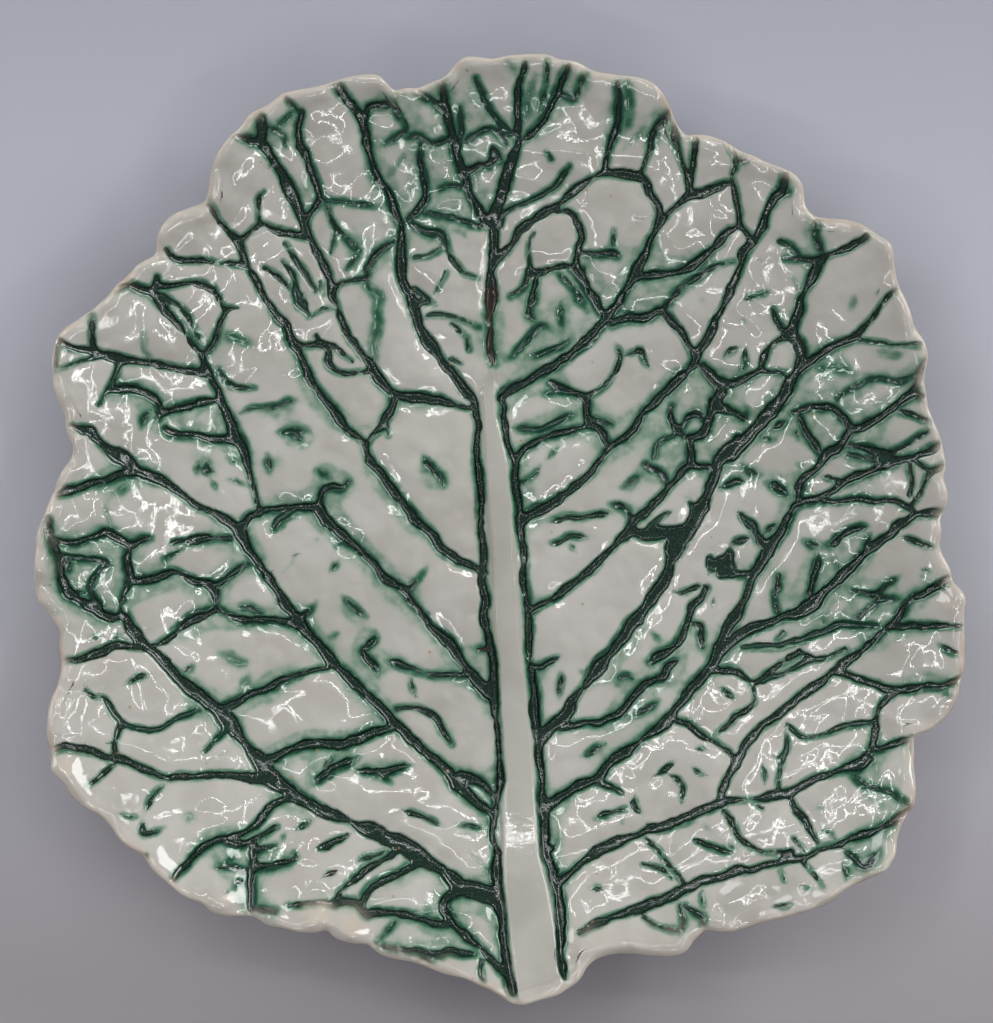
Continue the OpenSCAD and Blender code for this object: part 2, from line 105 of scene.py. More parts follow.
# The veins of each node. Each begins a line with its kind (D dark, G green, L light, B brown,
# C crease) and its half width at its start and at its end in millimetres. The shares that it
# runs through follow, on as many lines as they take.
VEINS = {
    "midrib_glaze_left": """
D 1.2 1.7 -25,120 -23,109 -25,97 -25,73 -24,62 -22,51 -20,41 -20,9 -21,-3 -18,-16 -17,-30 -18,-42
    -20,-54 -18,-65 -16,-77 -17,-88 -16,-102 -13,-114 -10,-126 -8,-139 -7,-153 -7,-193 -6,-204
    -4,-216 -2,-230 0,-250 0,-260 -1,-273 -3,-285 -5,-295 -5,-308 -6,-322 -5,-334 -3,-345 -3,-366
    -2,-392 0,-404 2,-417 3,-429 4,-447 7,-461 11,-475 14,-485
D 1.6 1.8 -45,-262 -25,-268 -6,-282
""",
    "midrib_glaze_right": """
D 1.2 1.8 2,138 5,129 4,120 6,108 8,97 11,87 13,78 18,67 18,50 22,15 20,11 22,0 23,-12 25,-24
    27,-38 26,-51 28,-65 29,-79 30,-93 31,-107 32,-135 35,-149 36,-163 37,-191 38,-204 39,-216
    43,-227 43,-241 45,-262 46,-276 47,-290 48,-304 49,-318 49,-343 52,-352 57,-362 61,-375 64,-387
    66,-412 67,-438 66,-450 68,-461 70,-471
""",
    "vein_glaze_middle": """
B 1.9 2.4 -7,176 -8,182 -11,194 -12,208 -12,226 -11,243 -10,260
D 2.2 1.6 -10,260 -9,273 -8,300 -7,326 -1,352 5,365 12,384 18,403
D 1.3 1.0 18,405 19,431 20,467 27,491
D 1.3 0.9 18,405 30,416 47,430 61,453 68,472 74,488
G 0.8 0.6 61,456 72,458 81,450 86,467 93,479
G 0.7 0.6 51,491 51,476 48,458 45,442
L 0.8 0.7 37,476 32,458 28,437
G 1.1 1.1 -26,474 -14,449 -1,431 10,416
L 0.7 0.6 2,495 18,477
D 1.2 1.5 -62,475 -61,458 -55,433 -50,412 -46,396 -38,377 -34,359 -25,344 -12,324
G 1.0 0.8 -89,463 -73,453 -61,442
G 0.8 0.8 -44,444 -41,423 -44,403
D 0.9 0.8 -37,380 -23,386 -8,389 -7,402 2,391
G 0.9 0.9 -39,409 -21,419 -8,423 6,407
G 1.1 1.1 -101,412 -86,415 -70,407 -53,410
G 0.9 0.9 -64,360 -53,363 -39,363
D 0.9 1.0 -85,405 -86,388 -82,372 -80,356 -88,342 -102,328
""",
    "vein_glaze_left_1": """
D 1.5 1.7 -177,470 -163,449 -150,430 -143,407 -136,382 -123,360 -116,342 -109,324 -107,300 -107,277
    -104,257 -100,247 -95,236 -91,226 -88,215 -80,203 -73,192 -66,182 -57,171 -48,160 -39,150
    -32,141 -27,131 -25,120
D 1.0 0.8 -148,432 -141,444 -127,449 -113,450
G 0.9 0.8 -113,447 -107,437 -101,426 -104,419 -122,409
G 1.4 1.0 -98,327 -80,317 -66,314 -57,296 -44,275 -26,268
G 1.1 0.8 -82,335 -53,330 -25,321
G 1.0 0.7 -93,289 -79,291 -64,301
G 0.8 0.6 -61,275 -70,252
G 1.0 0.7 -95,254 -86,248 -73,242
G 0.9 0.6 -95,238 -84,240 -71,240
G 1.0 0.7 -80,226 -70,227 -57,226 -44,223 -32,218 -25,215
D 0.7 0.6 -51,218 -44,211 -38,203 -35,192
G 0.6 0.5 -53,182 -44,177
""",
    "vein_glaze_left_2": """
D 1.4 1.5 -258,434 -257,416 -259,409 -250,398 -233,373 -222,347 -212,322 -206,310 -197,289 -186,266
    -183,248 -179,238 -175,227 -170,217 -164,206 -157,196 -150,186 -142,177 -136,167 -129,158
    -121,148 -115,143
D 1.4 1.2 -115,143 -106,142 -95,139 -82,138 -70,136 -57,133 -44,131 -34,129 -27,131
D 1.2 1.1 -284,415 -270,410 -259,408
D 1.4 0.9 -215,440 -218,409 -210,396 -204,377 -197,356 -199,345 -210,328
G 0.9 0.6 -232,454 -223,446 -215,437
G 0.9 0.9 -226,438 -237,426
G 0.9 0.8 -250,423 -237,416 -232,405
D 1.2 1.2 -261,324 -250,319 -241,315 -219,312 -206,310
D 1.1 0.8 -188,342 -179,321 -167,307 -154,294
G 0.8 0.7 -177,319 -185,292
D 1.0 0.8 -115,307 -134,294 -145,278 -145,268 -174,259 -181,250
G 0.7 0.6 -145,268 -143,254
G 0.7 0.6 -167,273 -156,289
G 1.0 0.8 -181,234 -192,234 -199,229 -205,226
""",
    "vein_glaze_left_3": """
D 1.2 1.6 -314,345 -309,338 -302,324 -293,314 -283,303 -279,291 -273,277 -264,263 -257,245 -250,236
    -242,226 -233,217 -228,206 -223,197 -216,187 -212,176 -208,166 -204,157 -199,148 -193,139
    -187,131 -181,122 -174,113 -167,106 -158,100 -149,93 -145,85 -142,76 -136,66 -129,57 -124,48
    -116,38 -109,30 -100,20 -91,9 -82,1 -73,-8 -66,-18 -55,-26 -44,-33 -34,-39 -25,-44 -18,-47
D 1.3 1.2 -115,143 -116,138 -118,129 -123,120 -127,113 -134,108 -140,101 -145,88
D 1.1 1.1 -222,196 -215,195 -206,196 -197,196 -190,194 -187,187 -188,180 -185,173 -178,168 -167,165
    -156,166 -145,167 -138,169
D 1.0 0.8 -283,303 -270,315 -261,324 -261,347 -254,356
D 1.2 1.1 -360,293 -351,285 -331,284 -300,282 -279,281
D 1.0 0.8 -257,277 -242,266 -228,256
G 0.9 0.7 -237,284 -226,270 -221,256 -214,243
G 1.1 0.7 -233,303 -219,282 -201,252
G 1.3 1.3 -224,255 -222,247 -217,238 -212,233 -208,226
G 0.7 0.7 -215,250 -210,238
G 0.7 0.7 -196,261 -194,250
D 1.0 0.8 -201,206 -196,199 -188,196 -179,194 -170,185 -160,178
L 1.2 0.9 -145,257 -136,250 -131,247 -133,233 -134,211 -137,201 -136,190 -134,183 -136,178
G 1.6 1.2 -122,112 -122,104
""",
    "vein_glaze_left_4": """
D 1.2 1.5 -414,252 -401,256 -387,253 -376,251 -369,241 -363,233 -356,224 -348,214 -342,207 -335,199
    -329,191 -324,185 -322,176 -317,166 -312,155 -307,145 -302,134 -298,124 -293,113 -290,102
    -285,94 -280,83 -277,74 -274,64 -272,53 -269,44 -265,34 -262,25 -262,18
D 1.5 1.6 -262,20 -250,22 -239,23 -228,24 -206,24 -198,23 -197,20 -192,11 -188,7 -181,0 -170,-9
    -160,-17 -149,-28 -138,-38 -129,-47 -118,-55 -107,-62 -100,-68 -93,-79 -84,-91 -75,-104
    -64,-114 -53,-126 -44,-137 -37,-147 -30,-158 -21,-169 -14,-176 -8,-179
D 1.3 1.5 -475,199 -466,194 -452,189 -439,187 -426,182 -414,179 -403,178 -389,176 -378,175 -367,172
    -354,170 -342,169 -329,167 -320,163
G 1.0 1.0 -480,169 -468,172 -457,176 -444,179 -432,181 -423,181
D 1.0 0.8 -475,201 -479,190 -479,169
D 0.9 1.0 -443,229 -440,224 -439,208 -440,192 -435,186 -427,182
G 1.0 0.8 -413,176 -415,167 -417,159 -421,150 -425,143 -434,131
D 1.2 1.0 -421,149 -410,148 -399,147 -389,145 -380,141 -373,136 -369,129 -367,124 -358,126 -347,128
    -338,130 -329,133 -320,136 -311,138
D 0.9 0.7 -367,124 -369,118
D 1.1 1.1 -363,108 -358,104 -349,102 -338,102 -327,102 -317,99 -306,96 -295,95 -286,91
D 0.9 0.9 -372,252 -372,257 -371,266
D 1.2 1.0 -372,257 -356,256 -340,260 -320,257 -311,250 -302,242
D 1.0 0.8 -198,23 -197,32 -194,41 -185,45 -174,44 -166,51
G 1.1 0.9 -248,0 -242,9 -232,15 -224,18
L 1.0 0.8 -387,208 -385,190 -379,183 -378,176
D 0.9 0.7 -311,254 -305,243 -299,233 -295,231 -284,233
D 0.8 0.8 -299,226 -304,218 -307,210 -309,199 -317,190 -322,187
G 1.0 1.0 -367,245 -356,238 -349,234 -344,229 -338,222 -333,211 -327,202
G 0.9 0.6 -306,167 -300,159 -291,152 -279,149 -266,148
""",
    "vein_glaze_left_5": """
D 1.6 1.9 -462,109 -452,107 -443,104 -437,96 -430,89 -421,82 -412,77 -403,70 -394,62 -385,58
    -374,53 -363,48 -353,42 -342,34 -333,28 -322,22 -311,17 -302,11 -297,8 -288,0 -279,-12 -272,-23
    -264,-33 -257,-44 -250,-54 -243,-67 -235,-79 -227,-89 -219,-98 -212,-109 -203,-119 -194,-128
    -185,-139 -178,-147 -169,-156 -160,-165 -149,-176 -138,-184 -127,-194 -118,-204 -107,-213
    -97,-223 -86,-234 -75,-243 -64,-252 -57,-258 -52,-268 -41,-277 -30,-286 -19,-295 -10,-302
D 1.5 1.5 -262,18 -272,15 -279,6 -282,-3
D 1.4 1.4 -477,37 -464,40 -452,44 -439,49 -426,52 -414,56 -403,58 -394,61
D 1.3 1.3 -398,-57 -389,-55 -378,-53 -367,-49 -356,-46 -347,-48 -338,-53 -329,-56 -320,-57 -313,-61
    -310,-70 -310,-81 -308,-86 -297,-91 -288,-95 -277,-96 -264,-95 -250,-95 -239,-97 -230,-100
    -221,-102
G 1.2 0.9 -310,-61 -304,-58 -295,-50 -286,-44 -277,-38 -270,-36
D 1.2 1.0 -354,-12 -342,-12 -331,-9 -317,-6
D 1.1 0.9 -340,-17 -331,-14 -322,-10 -311,-9 -295,-9
G 0.9 0.7 -344,-21 -353,-27 -363,-31
G 0.9 0.9 -282,-84 -272,-85 -261,-89
""",
    "vein_glaze_left_6": """
D 1.6 3.0 -489,9 -485,-3 -482,-16 -479,-30 -477,-44 -472,-56 -466,-67 -457,-73 -448,-79 -439,-85
    -430,-92 -419,-95 -408,-95 -403,-102 -396,-112 -387,-121 -378,-128 -367,-139 -358,-148
    -349,-158 -338,-168 -327,-176 -317,-185 -306,-193 -297,-200 -290,-209 -282,-220 -275,-230
    -268,-241 -259,-251 -254,-258 -250,-265 -239,-274 -228,-281 -217,-287 -206,-293 -194,-299
    -181,-303 -169,-308 -156,-314 -143,-319 -131,-324 -118,-330 -107,-334 -97,-341 -86,-348
    -75,-355 -64,-362 -53,-370 -43,-377 -30,-383 -17,-388 -7,-390
D 1.3 1.3 -399,-17 -403,-28 -404,-40 -401,-51 -403,-63 -407,-75 -410,-88
D 1.4 1.2 -480,-10 -470,-14 -457,-14 -446,-10 -435,-6 -425,-3 -416,-9 -407,-14 -399,-16 -389,-11
    -380,-8
D 1.2 1.1 -310,-87 -320,-91 -331,-96 -342,-104 -353,-111 -363,-118 -374,-123
D 1.4 1.3 -468,-139 -457,-138 -444,-135 -432,-131 -421,-126 -410,-124 -399,-125 -389,-125 -378,-128
D 1.2 0.9 -299,-188 -290,-184 -279,-181 -268,-176 -257,-170 -246,-166 -239,-162 -224,-157 -212,-153
    -199,-150 -187,-149
D 1.6 1.6 -120,-213 -134,-216 -145,-220 -158,-224 -170,-228 -183,-229 -196,-228 -208,-228 -221,-231
    -232,-235 -244,-241 -255,-245 -262,-248
G 1.2 1.2 -469,-30 -448,-31 -437,-31 -426,-36 -434,-42 -439,-50 -443,-60 -441,-70 -434,-81
G 1.0 0.8 -475,-28 -468,-31 -469,-42
G 1.0 0.8 -455,-67 -448,-68
D 1.1 0.8 -111,-193 -100,-191 -89,-192 -79,-196 -71,-202 -64,-211 -57,-220 -52,-227
B 1.0 1.0 -244,-262 -250,-265
""",
    "vein_glaze_left_7": """
D 1.3 1.6 -482,-232 -473,-228 -462,-229 -450,-232 -437,-235 -425,-240 -414,-242 -403,-245 -392,-250
    -381,-255 -371,-259 -358,-263 -345,-262 -320,-261 -295,-260 -282,-261 -270,-263 -257,-266
G 1.1 1.0 -448,-170 -441,-176 -430,-179 -423,-188 -417,-197 -408,-205
G 1.2 0.9 -408,-205 -399,-209 -389,-211 -378,-212 -367,-209 -356,-205 -345,-198 -336,-194 -327,-192
D 1.2 1.1 -408,-205 -412,-214 -416,-225 -416,-235 -414,-244
D 0.9 0.6 -416,-248 -425,-256 -434,-264 -443,-268 -450,-272
G 1.4 1.0 -297,-200 -295,-209 -302,-218 -311,-225 -320,-235
""",
    "vein_glaze_left_8": """
D 1.3 1.4 -351,-369 -345,-362 -338,-355 -331,-345 -322,-336 -311,-329 -300,-325 -290,-324 -279,-320
    -268,-313 -259,-306 -250,-296 -239,-289 -228,-285
D 1.1 1.0 -297,-327 -286,-331 -275,-331 -264,-327 -255,-322 -243,-315
D 1.3 1.0 -264,-329 -266,-339 -268,-352 -269,-362 -269,-383 -270,-394 -269,-404
D 0.9 0.6 -264,-340 -255,-338 -245,-334
D 0.8 0.8 -264,-359 -255,-356 -239,-353 -228,-351 -222,-348 -224,-343
D 0.8 0.6 -270,-360 -282,-359 -293,-357 -304,-356
G 0.7 0.6 -295,-352 -288,-345
D 0.8 0.8 -267,-403 -255,-402 -241,-403
""",
    "vein_glaze_left_9": """
D 1.2 1.1 -108,-340 -118,-346 -129,-352 -140,-359 -151,-368 -161,-375 -172,-383 -179,-392
D 1.2 1.1 -88,-354 -98,-357 -107,-364 -118,-369 -129,-375 -138,-380 -145,-387 -149,-396
D 1.1 1.5 -228,-396 -210,-394 -199,-393 -188,-395 -179,-397 -170,-395 -160,-395 -152,-397 -145,-406
    -138,-404 -127,-404 -116,-405 -106,-408 -95,-411 -84,-413 -71,-415 -59,-417
D 1.4 1.2 -46,-385 -55,-389 -61,-396 -61,-403 -55,-412 -48,-420 -39,-429 -28,-438 -17,-447 -7,-457
    2,-466
D 1.0 1.4 -134,-438 -124,-439 -113,-441 -102,-444 -89,-443 -77,-446 -64,-447 -52,-444 -41,-447
    -30,-448
D 1.4 1.4 -84,-452 -76,-456
D 0.8 0.6 -113,-415 -122,-424 -129,-431
G 1.1 0.9 -21,-454 -22,-466 -18,-475
""",
    "vein_glaze_right_1": """
D 1.4 1.6 1,139 7,145 18,151 30,157 43,165 56,173 68,182 79,190 90,199 101,210 110,219 117,226
    124,234 133,245 142,261 151,280 160,300 169,317 180,333 194,344 207,354 221,355 237,361 250,366
D 1.2 1.2 115,227 110,234 104,245 97,254 93,264 86,275 84,293 88,308 86,324 75,337 59,337
D 1.7 1.4 -6,284 9,300 25,317 43,333 59,342 70,352 90,365 108,375 122,377 151,373 158,365 162,356
    171,345 173,335 171,324
G 1.2 1.0 0,322 7,335 25,345 43,354 61,366 68,375 74,384
D 1.3 0.9 113,377 115,391 120,412 128,435 129,470
L 1.0 0.8 140,470 140,446 137,428
D 1.1 0.8 153,379 160,396 165,416 171,428 182,440
D 1.2 1.0 88,293 104,293 122,295 128,291
G 0.9 0.7 124,319 124,305
D 1.0 0.9 86,273 70,280 56,277 38,272 29,275
G 0.8 0.7 32,275 32,296 39,314
D 0.8 0.7 30,275 23,257 12,250
D 0.8 0.7 38,272 38,257 36,242
G 0.7 0.6 61,275 75,261 93,242
G 0.7 0.6 93,277 93,259 104,242
G 0.7 0.6 50,398 54,391
""",
    "vein_glaze_right_2": """
D 1.5 1.6 23,6 29,11 41,18 54,25 66,34 79,43 90,51 101,62 110,73 115,81 122,90 133,97 144,106
    153,117 162,127 173,138 183,148 194,159 203,167 212,176 217,187 223,197 228,208 234,218 241,233
    248,247 256,268 263,284 272,301 277,308 285,321 290,335 297,349 304,359 308,372
D 1.1 1.1 16,71 21,80 30,88 41,95 52,99 65,102 79,104 92,108 97,109
D 1.2 1.3 57,157 63,153 72,148 83,144 92,138 93,127 95,118 99,109 108,106 113,97 118,88
G 0.8 0.7 97,118 106,116 115,112 121,110
D 1.3 1.2 120,218 133,222 144,224 155,226 165,229 174,232 182,226 189,218 196,210 203,199 209,190
    213,183
D 0.9 0.7 176,233 185,241 194,248
D 1.2 1.0 189,424 192,405 200,384 207,361
D 1.9 1.2 212,412 210,396 209,377 207,361
D 1.3 1.1 248,317 241,310 230,296 214,284 196,272 169,270 151,268
G 1.1 1.0 250,282 232,277 210,264 187,247
D 1.1 0.9 247,407 254,396 256,384 250,372 256,354 258,337 258,324 267,312 274,303
D 0.8 0.7 258,321 247,315 240,310
D 0.7 0.6 257,386 270,393
D 0.8 0.7 301,350 310,354
D 0.8 0.6 268,300 258,289 262,280
""",
    "vein_glaze_right_3": """
D 1.3 1.6 32,-86 43,-81 56,-74 66,-67 77,-60 88,-53 99,-44 108,-35 117,-26 126,-17 133,-9 138,-6
    144,4 151,13 162,22 173,32 183,43 194,53 201,64 208,69 208,80 207,92
D 1.9 1.5 207,95 218,99 223,106 228,117 232,127 237,138 241,148 236,155 228,166 223,173
D 1.1 1.0 198,99 192,104 187,113 185,122 187,131
D 1.0 0.9 183,46 180,55 173,62 164,66 160,69
G 1.0 0.8 189,99 178,95 171,88 169,76
D 1.0 0.9 212,66 219,65 228,65 237,60
D 1.2 1.1 198,109 205,120 214,122 219,115
D 1.1 1.3 312,203 303,200 294,194 288,185 285,176 283,169 272,163 259,157 249,153 240,155
D 0.8 0.7 285,168 295,167 304,165 312,160
""",
    "vein_glaze_right_4": """
D 2.1 2.1 201,-10 194,-16 187,-16 185,-21 186,-33 183,-45 176,-58 169,-68 160,-81 153,-91 144,-102
    135,-114 128,-126 120,-135 111,-146 102,-156 93,-167 84,-177 77,-188 70,-198 61,-207 52,-216
    45,-225
D 2.6 2.5 203,-6 209,6 216,18 223,30 228,41 234,51 241,71
D 2.5 1.5 241,71 250,80 261,90 272,99 283,109 294,122 303,134 310,145 315,155 322,166 325,176
    326,187 324,197 319,204 317,211 319,222 324,233 326,242 333,256 341,270 348,286 351,289 366,294
    380,301 393,308
D 1.6 1.2 241,71 252,85 259,97
D 1.2 1.2 428,252 419,245 410,234 401,222 394,213 385,204 374,199 362,194 351,189 340,180 331,171
    324,166
G 1.0 0.7 389,200 398,198 407,196 418,194 430,195 443,196 454,196
D 1.0 0.8 342,328 339,310 346,296 351,289
D 0.9 0.8 348,285 330,286 307,284
G 0.8 0.7 301,303 316,296 325,286
D 1.3 1.0 201,-10 196,-24 189,-33
D 1.2 1.2 146,-4 156,-8 169,-9 180,-5 189,-2 200,0
D 1.2 1.0 146,-3 160,-3 176,1 189,0 201,-3
D 0.9 1.0 295,233 299,222 306,211 312,206
""",
    "vein_glaze_right_5": """
D 1.2 2.0 473,88 464,83 455,80 443,76 430,73 419,69 409,66 398,60 387,55 376,50 365,43 355,37
    344,32 333,30 324,27 317,16 311,8 306,-1 301,-10 294,-21 286,-33 279,-44 274,-54 269,-65
    263,-77 258,-89 250,-102 245,-112 240,-123 236,-135
D 1.1 1.4 457,176 454,164 452,155 446,146 437,139 428,131 418,123 407,115 396,109 387,106 380,104
    373,94 365,87 355,81 349,74 344,66 335,58 328,50 324,39 326,30
D 0.8 0.7 446,146 456,141
D 0.9 0.7 432,125 443,122 456,117 465,115
D 1.2 1.0 382,106 374,117 367,124 360,129 347,129 337,129 326,126 317,122
D 1.1 0.9 326,117 331,108 338,97 344,88 347,80
D 1.1 0.9 380,90 391,87 401,83 412,80 419,78 430,83 441,90 452,99 461,104
G 0.9 0.8 378,80 391,77 403,74 416,73
D 0.9 0.8 446,74 455,67 464,62 477,67
D 1.0 0.8 464,60 459,50 454,39 448,30 446,25
D 0.9 0.8 443,69 444,58 444,48 443,37
D 1.1 1.1 351,27 365,29 380,30 392,30 407,29 419,31 430,30 439,25 448,20
""",
    "vein_glaze_right_6": """
D 1.6 1.9 473,15 463,16 450,15 439,9 428,4 427,-2 418,-9 409,-16 400,-24 392,-31 383,-40 374,-47
    365,-56 356,-63 347,-72 338,-81 328,-88 315,-91 302,-95 290,-100 277,-105 266,-111 259,-116
    250,-123 241,-132 234,-140 227,-149 219,-160 210,-170 201,-181 192,-191 183,-202 173,-211
    162,-220 151,-227 140,-234 129,-241 119,-249 108,-262 97,-268 86,-274 75,-281 65,-288 54,-295
    48,-300
D 1.4 1.3 225,-63 218,-74 210,-82 207,-91 203,-102 198,-112 192,-123 183,-130 173,-135 165,-142
D 1.2 1.2 192,-142 183,-147 178,-156 169,-158 158,-163 151,-172 142,-181 135,-190 128,-197 119,-202
    110,-207 97,-206 86,-207 75,-210 66,-214
D 1.2 1.0 219,-104 218,-116 220,-128
D 1.0 0.9 209,-102 218,-102
D 1.0 0.8 308,-109 302,-116
D 1.1 0.9 302,-49 302,-60 299,-68 299,-79 302,-89
""",
    "vein_glaze_right_7": """
D 1.3 1.5 484,-52 473,-57 463,-63 452,-70 441,-77 434,-86 428,-95 421,-104 412,-111 401,-119
    392,-128 382,-135 371,-144 362,-153 351,-162 340,-169 329,-176 317,-184 306,-193 295,-202
    284,-211 275,-220 266,-230 259,-241 255,-250 250,-259 243,-273 239,-280 237,-287
D 1.3 1.2 500,-102 473,-103 446,-103 423,-104
D 1.3 1.1 362,-153 374,-154 387,-158 400,-162 412,-166 425,-170 436,-169 448,-167 461,-165 475,-164
    486,-161 497,-157
D 1.3 1.1 192,-204 203,-209 212,-216 223,-222 234,-227 241,-232 248,-237 254,-246
G 1.4 1.0 409,-104 398,-102 373,-102 362,-104 351,-109 340,-112 329,-116 317,-119 306,-123 293,-125
    266,-126
D 1.1 1.1 232,-149 243,-151 256,-153 267,-159 277,-163 284,-160 293,-151 306,-142 317,-135 326,-130
G 1.2 0.9 374,-128 364,-132 351,-137 338,-140 326,-145 311,-151 299,-156 288,-162
D 1.0 0.9 232,-220 241,-214 250,-207 256,-198 267,-191 275,-184 276,-176 275,-165
""",
    "vein_glaze_right_8": """
D 1.5 1.7 401,-241 392,-246 382,-252 369,-254 356,-258 346,-262 335,-267 324,-273 313,-278 302,-281
    290,-283 275,-285 263,-287 250,-288 239,-289 230,-293 219,-298 209,-303 198,-308 185,-313
    173,-317 160,-319 149,-324 138,-328 128,-332 117,-337 106,-342 95,-349 84,-357 75,-366 66,-375
D 1.1 1.1 427,-172 418,-181 410,-190 406,-200 404,-213 402,-223 400,-232 392,-241 382,-248 371,-253
D 1.0 1.0 445,-221 434,-225 423,-228 412,-230 401,-232
G 1.1 0.9 401,-204 389,-205 374,-207 362,-212 347,-216 333,-220 324,-219 317,-213 311,-207
D 0.9 0.8 158,-327 162,-334 171,-343 180,-352 189,-362 198,-373
D 0.7 0.6 155,-354 165,-357 176,-361 185,-369
G 1.0 0.8 382,-259 391,-266 401,-271 412,-274 421,-277 427,-283 433,-287 439,-294
D 0.8 0.6 275,-290 283,-295
""",
    "vein_glaze_right_9": """
D 1.2 1.8 441,-299 428,-303 416,-309 403,-316 392,-321 380,-326 367,-331 355,-335 344,-338 335,-343
    324,-346 311,-349 299,-353 286,-356 274,-360 261,-361 248,-366 237,-370 225,-372 212,-375
    201,-382 189,-389 176,-393 164,-396 151,-401 138,-406 126,-410 115,-413 104,-417 95,-420
    86,-426
D 1.4 1.4 315,-288 320,-297 328,-306 335,-315 340,-324 344,-332
D 1.1 1.1 241,-299 250,-310 256,-320 263,-329 272,-336 283,-341 295,-341 306,-341 313,-340 302,-348
D 0.9 0.8 194,-398 196,-408 195,-419
D 0.9 0.7 200,-397 209,-403 218,-408 218,-417
D 0.9 0.7 155,-410 165,-415 178,-420 192,-423
D 0.7 0.6 218,-385 219,-396
D 0.7 0.6 351,-320 358,-320 362,-327
D 0.7 0.6 317,-325 322,-332 326,-339
D 0.7 0.5 324,-348 329,-354 337,-364 346,-376
D 0.7 0.6 301,-361 306,-369
""",
}

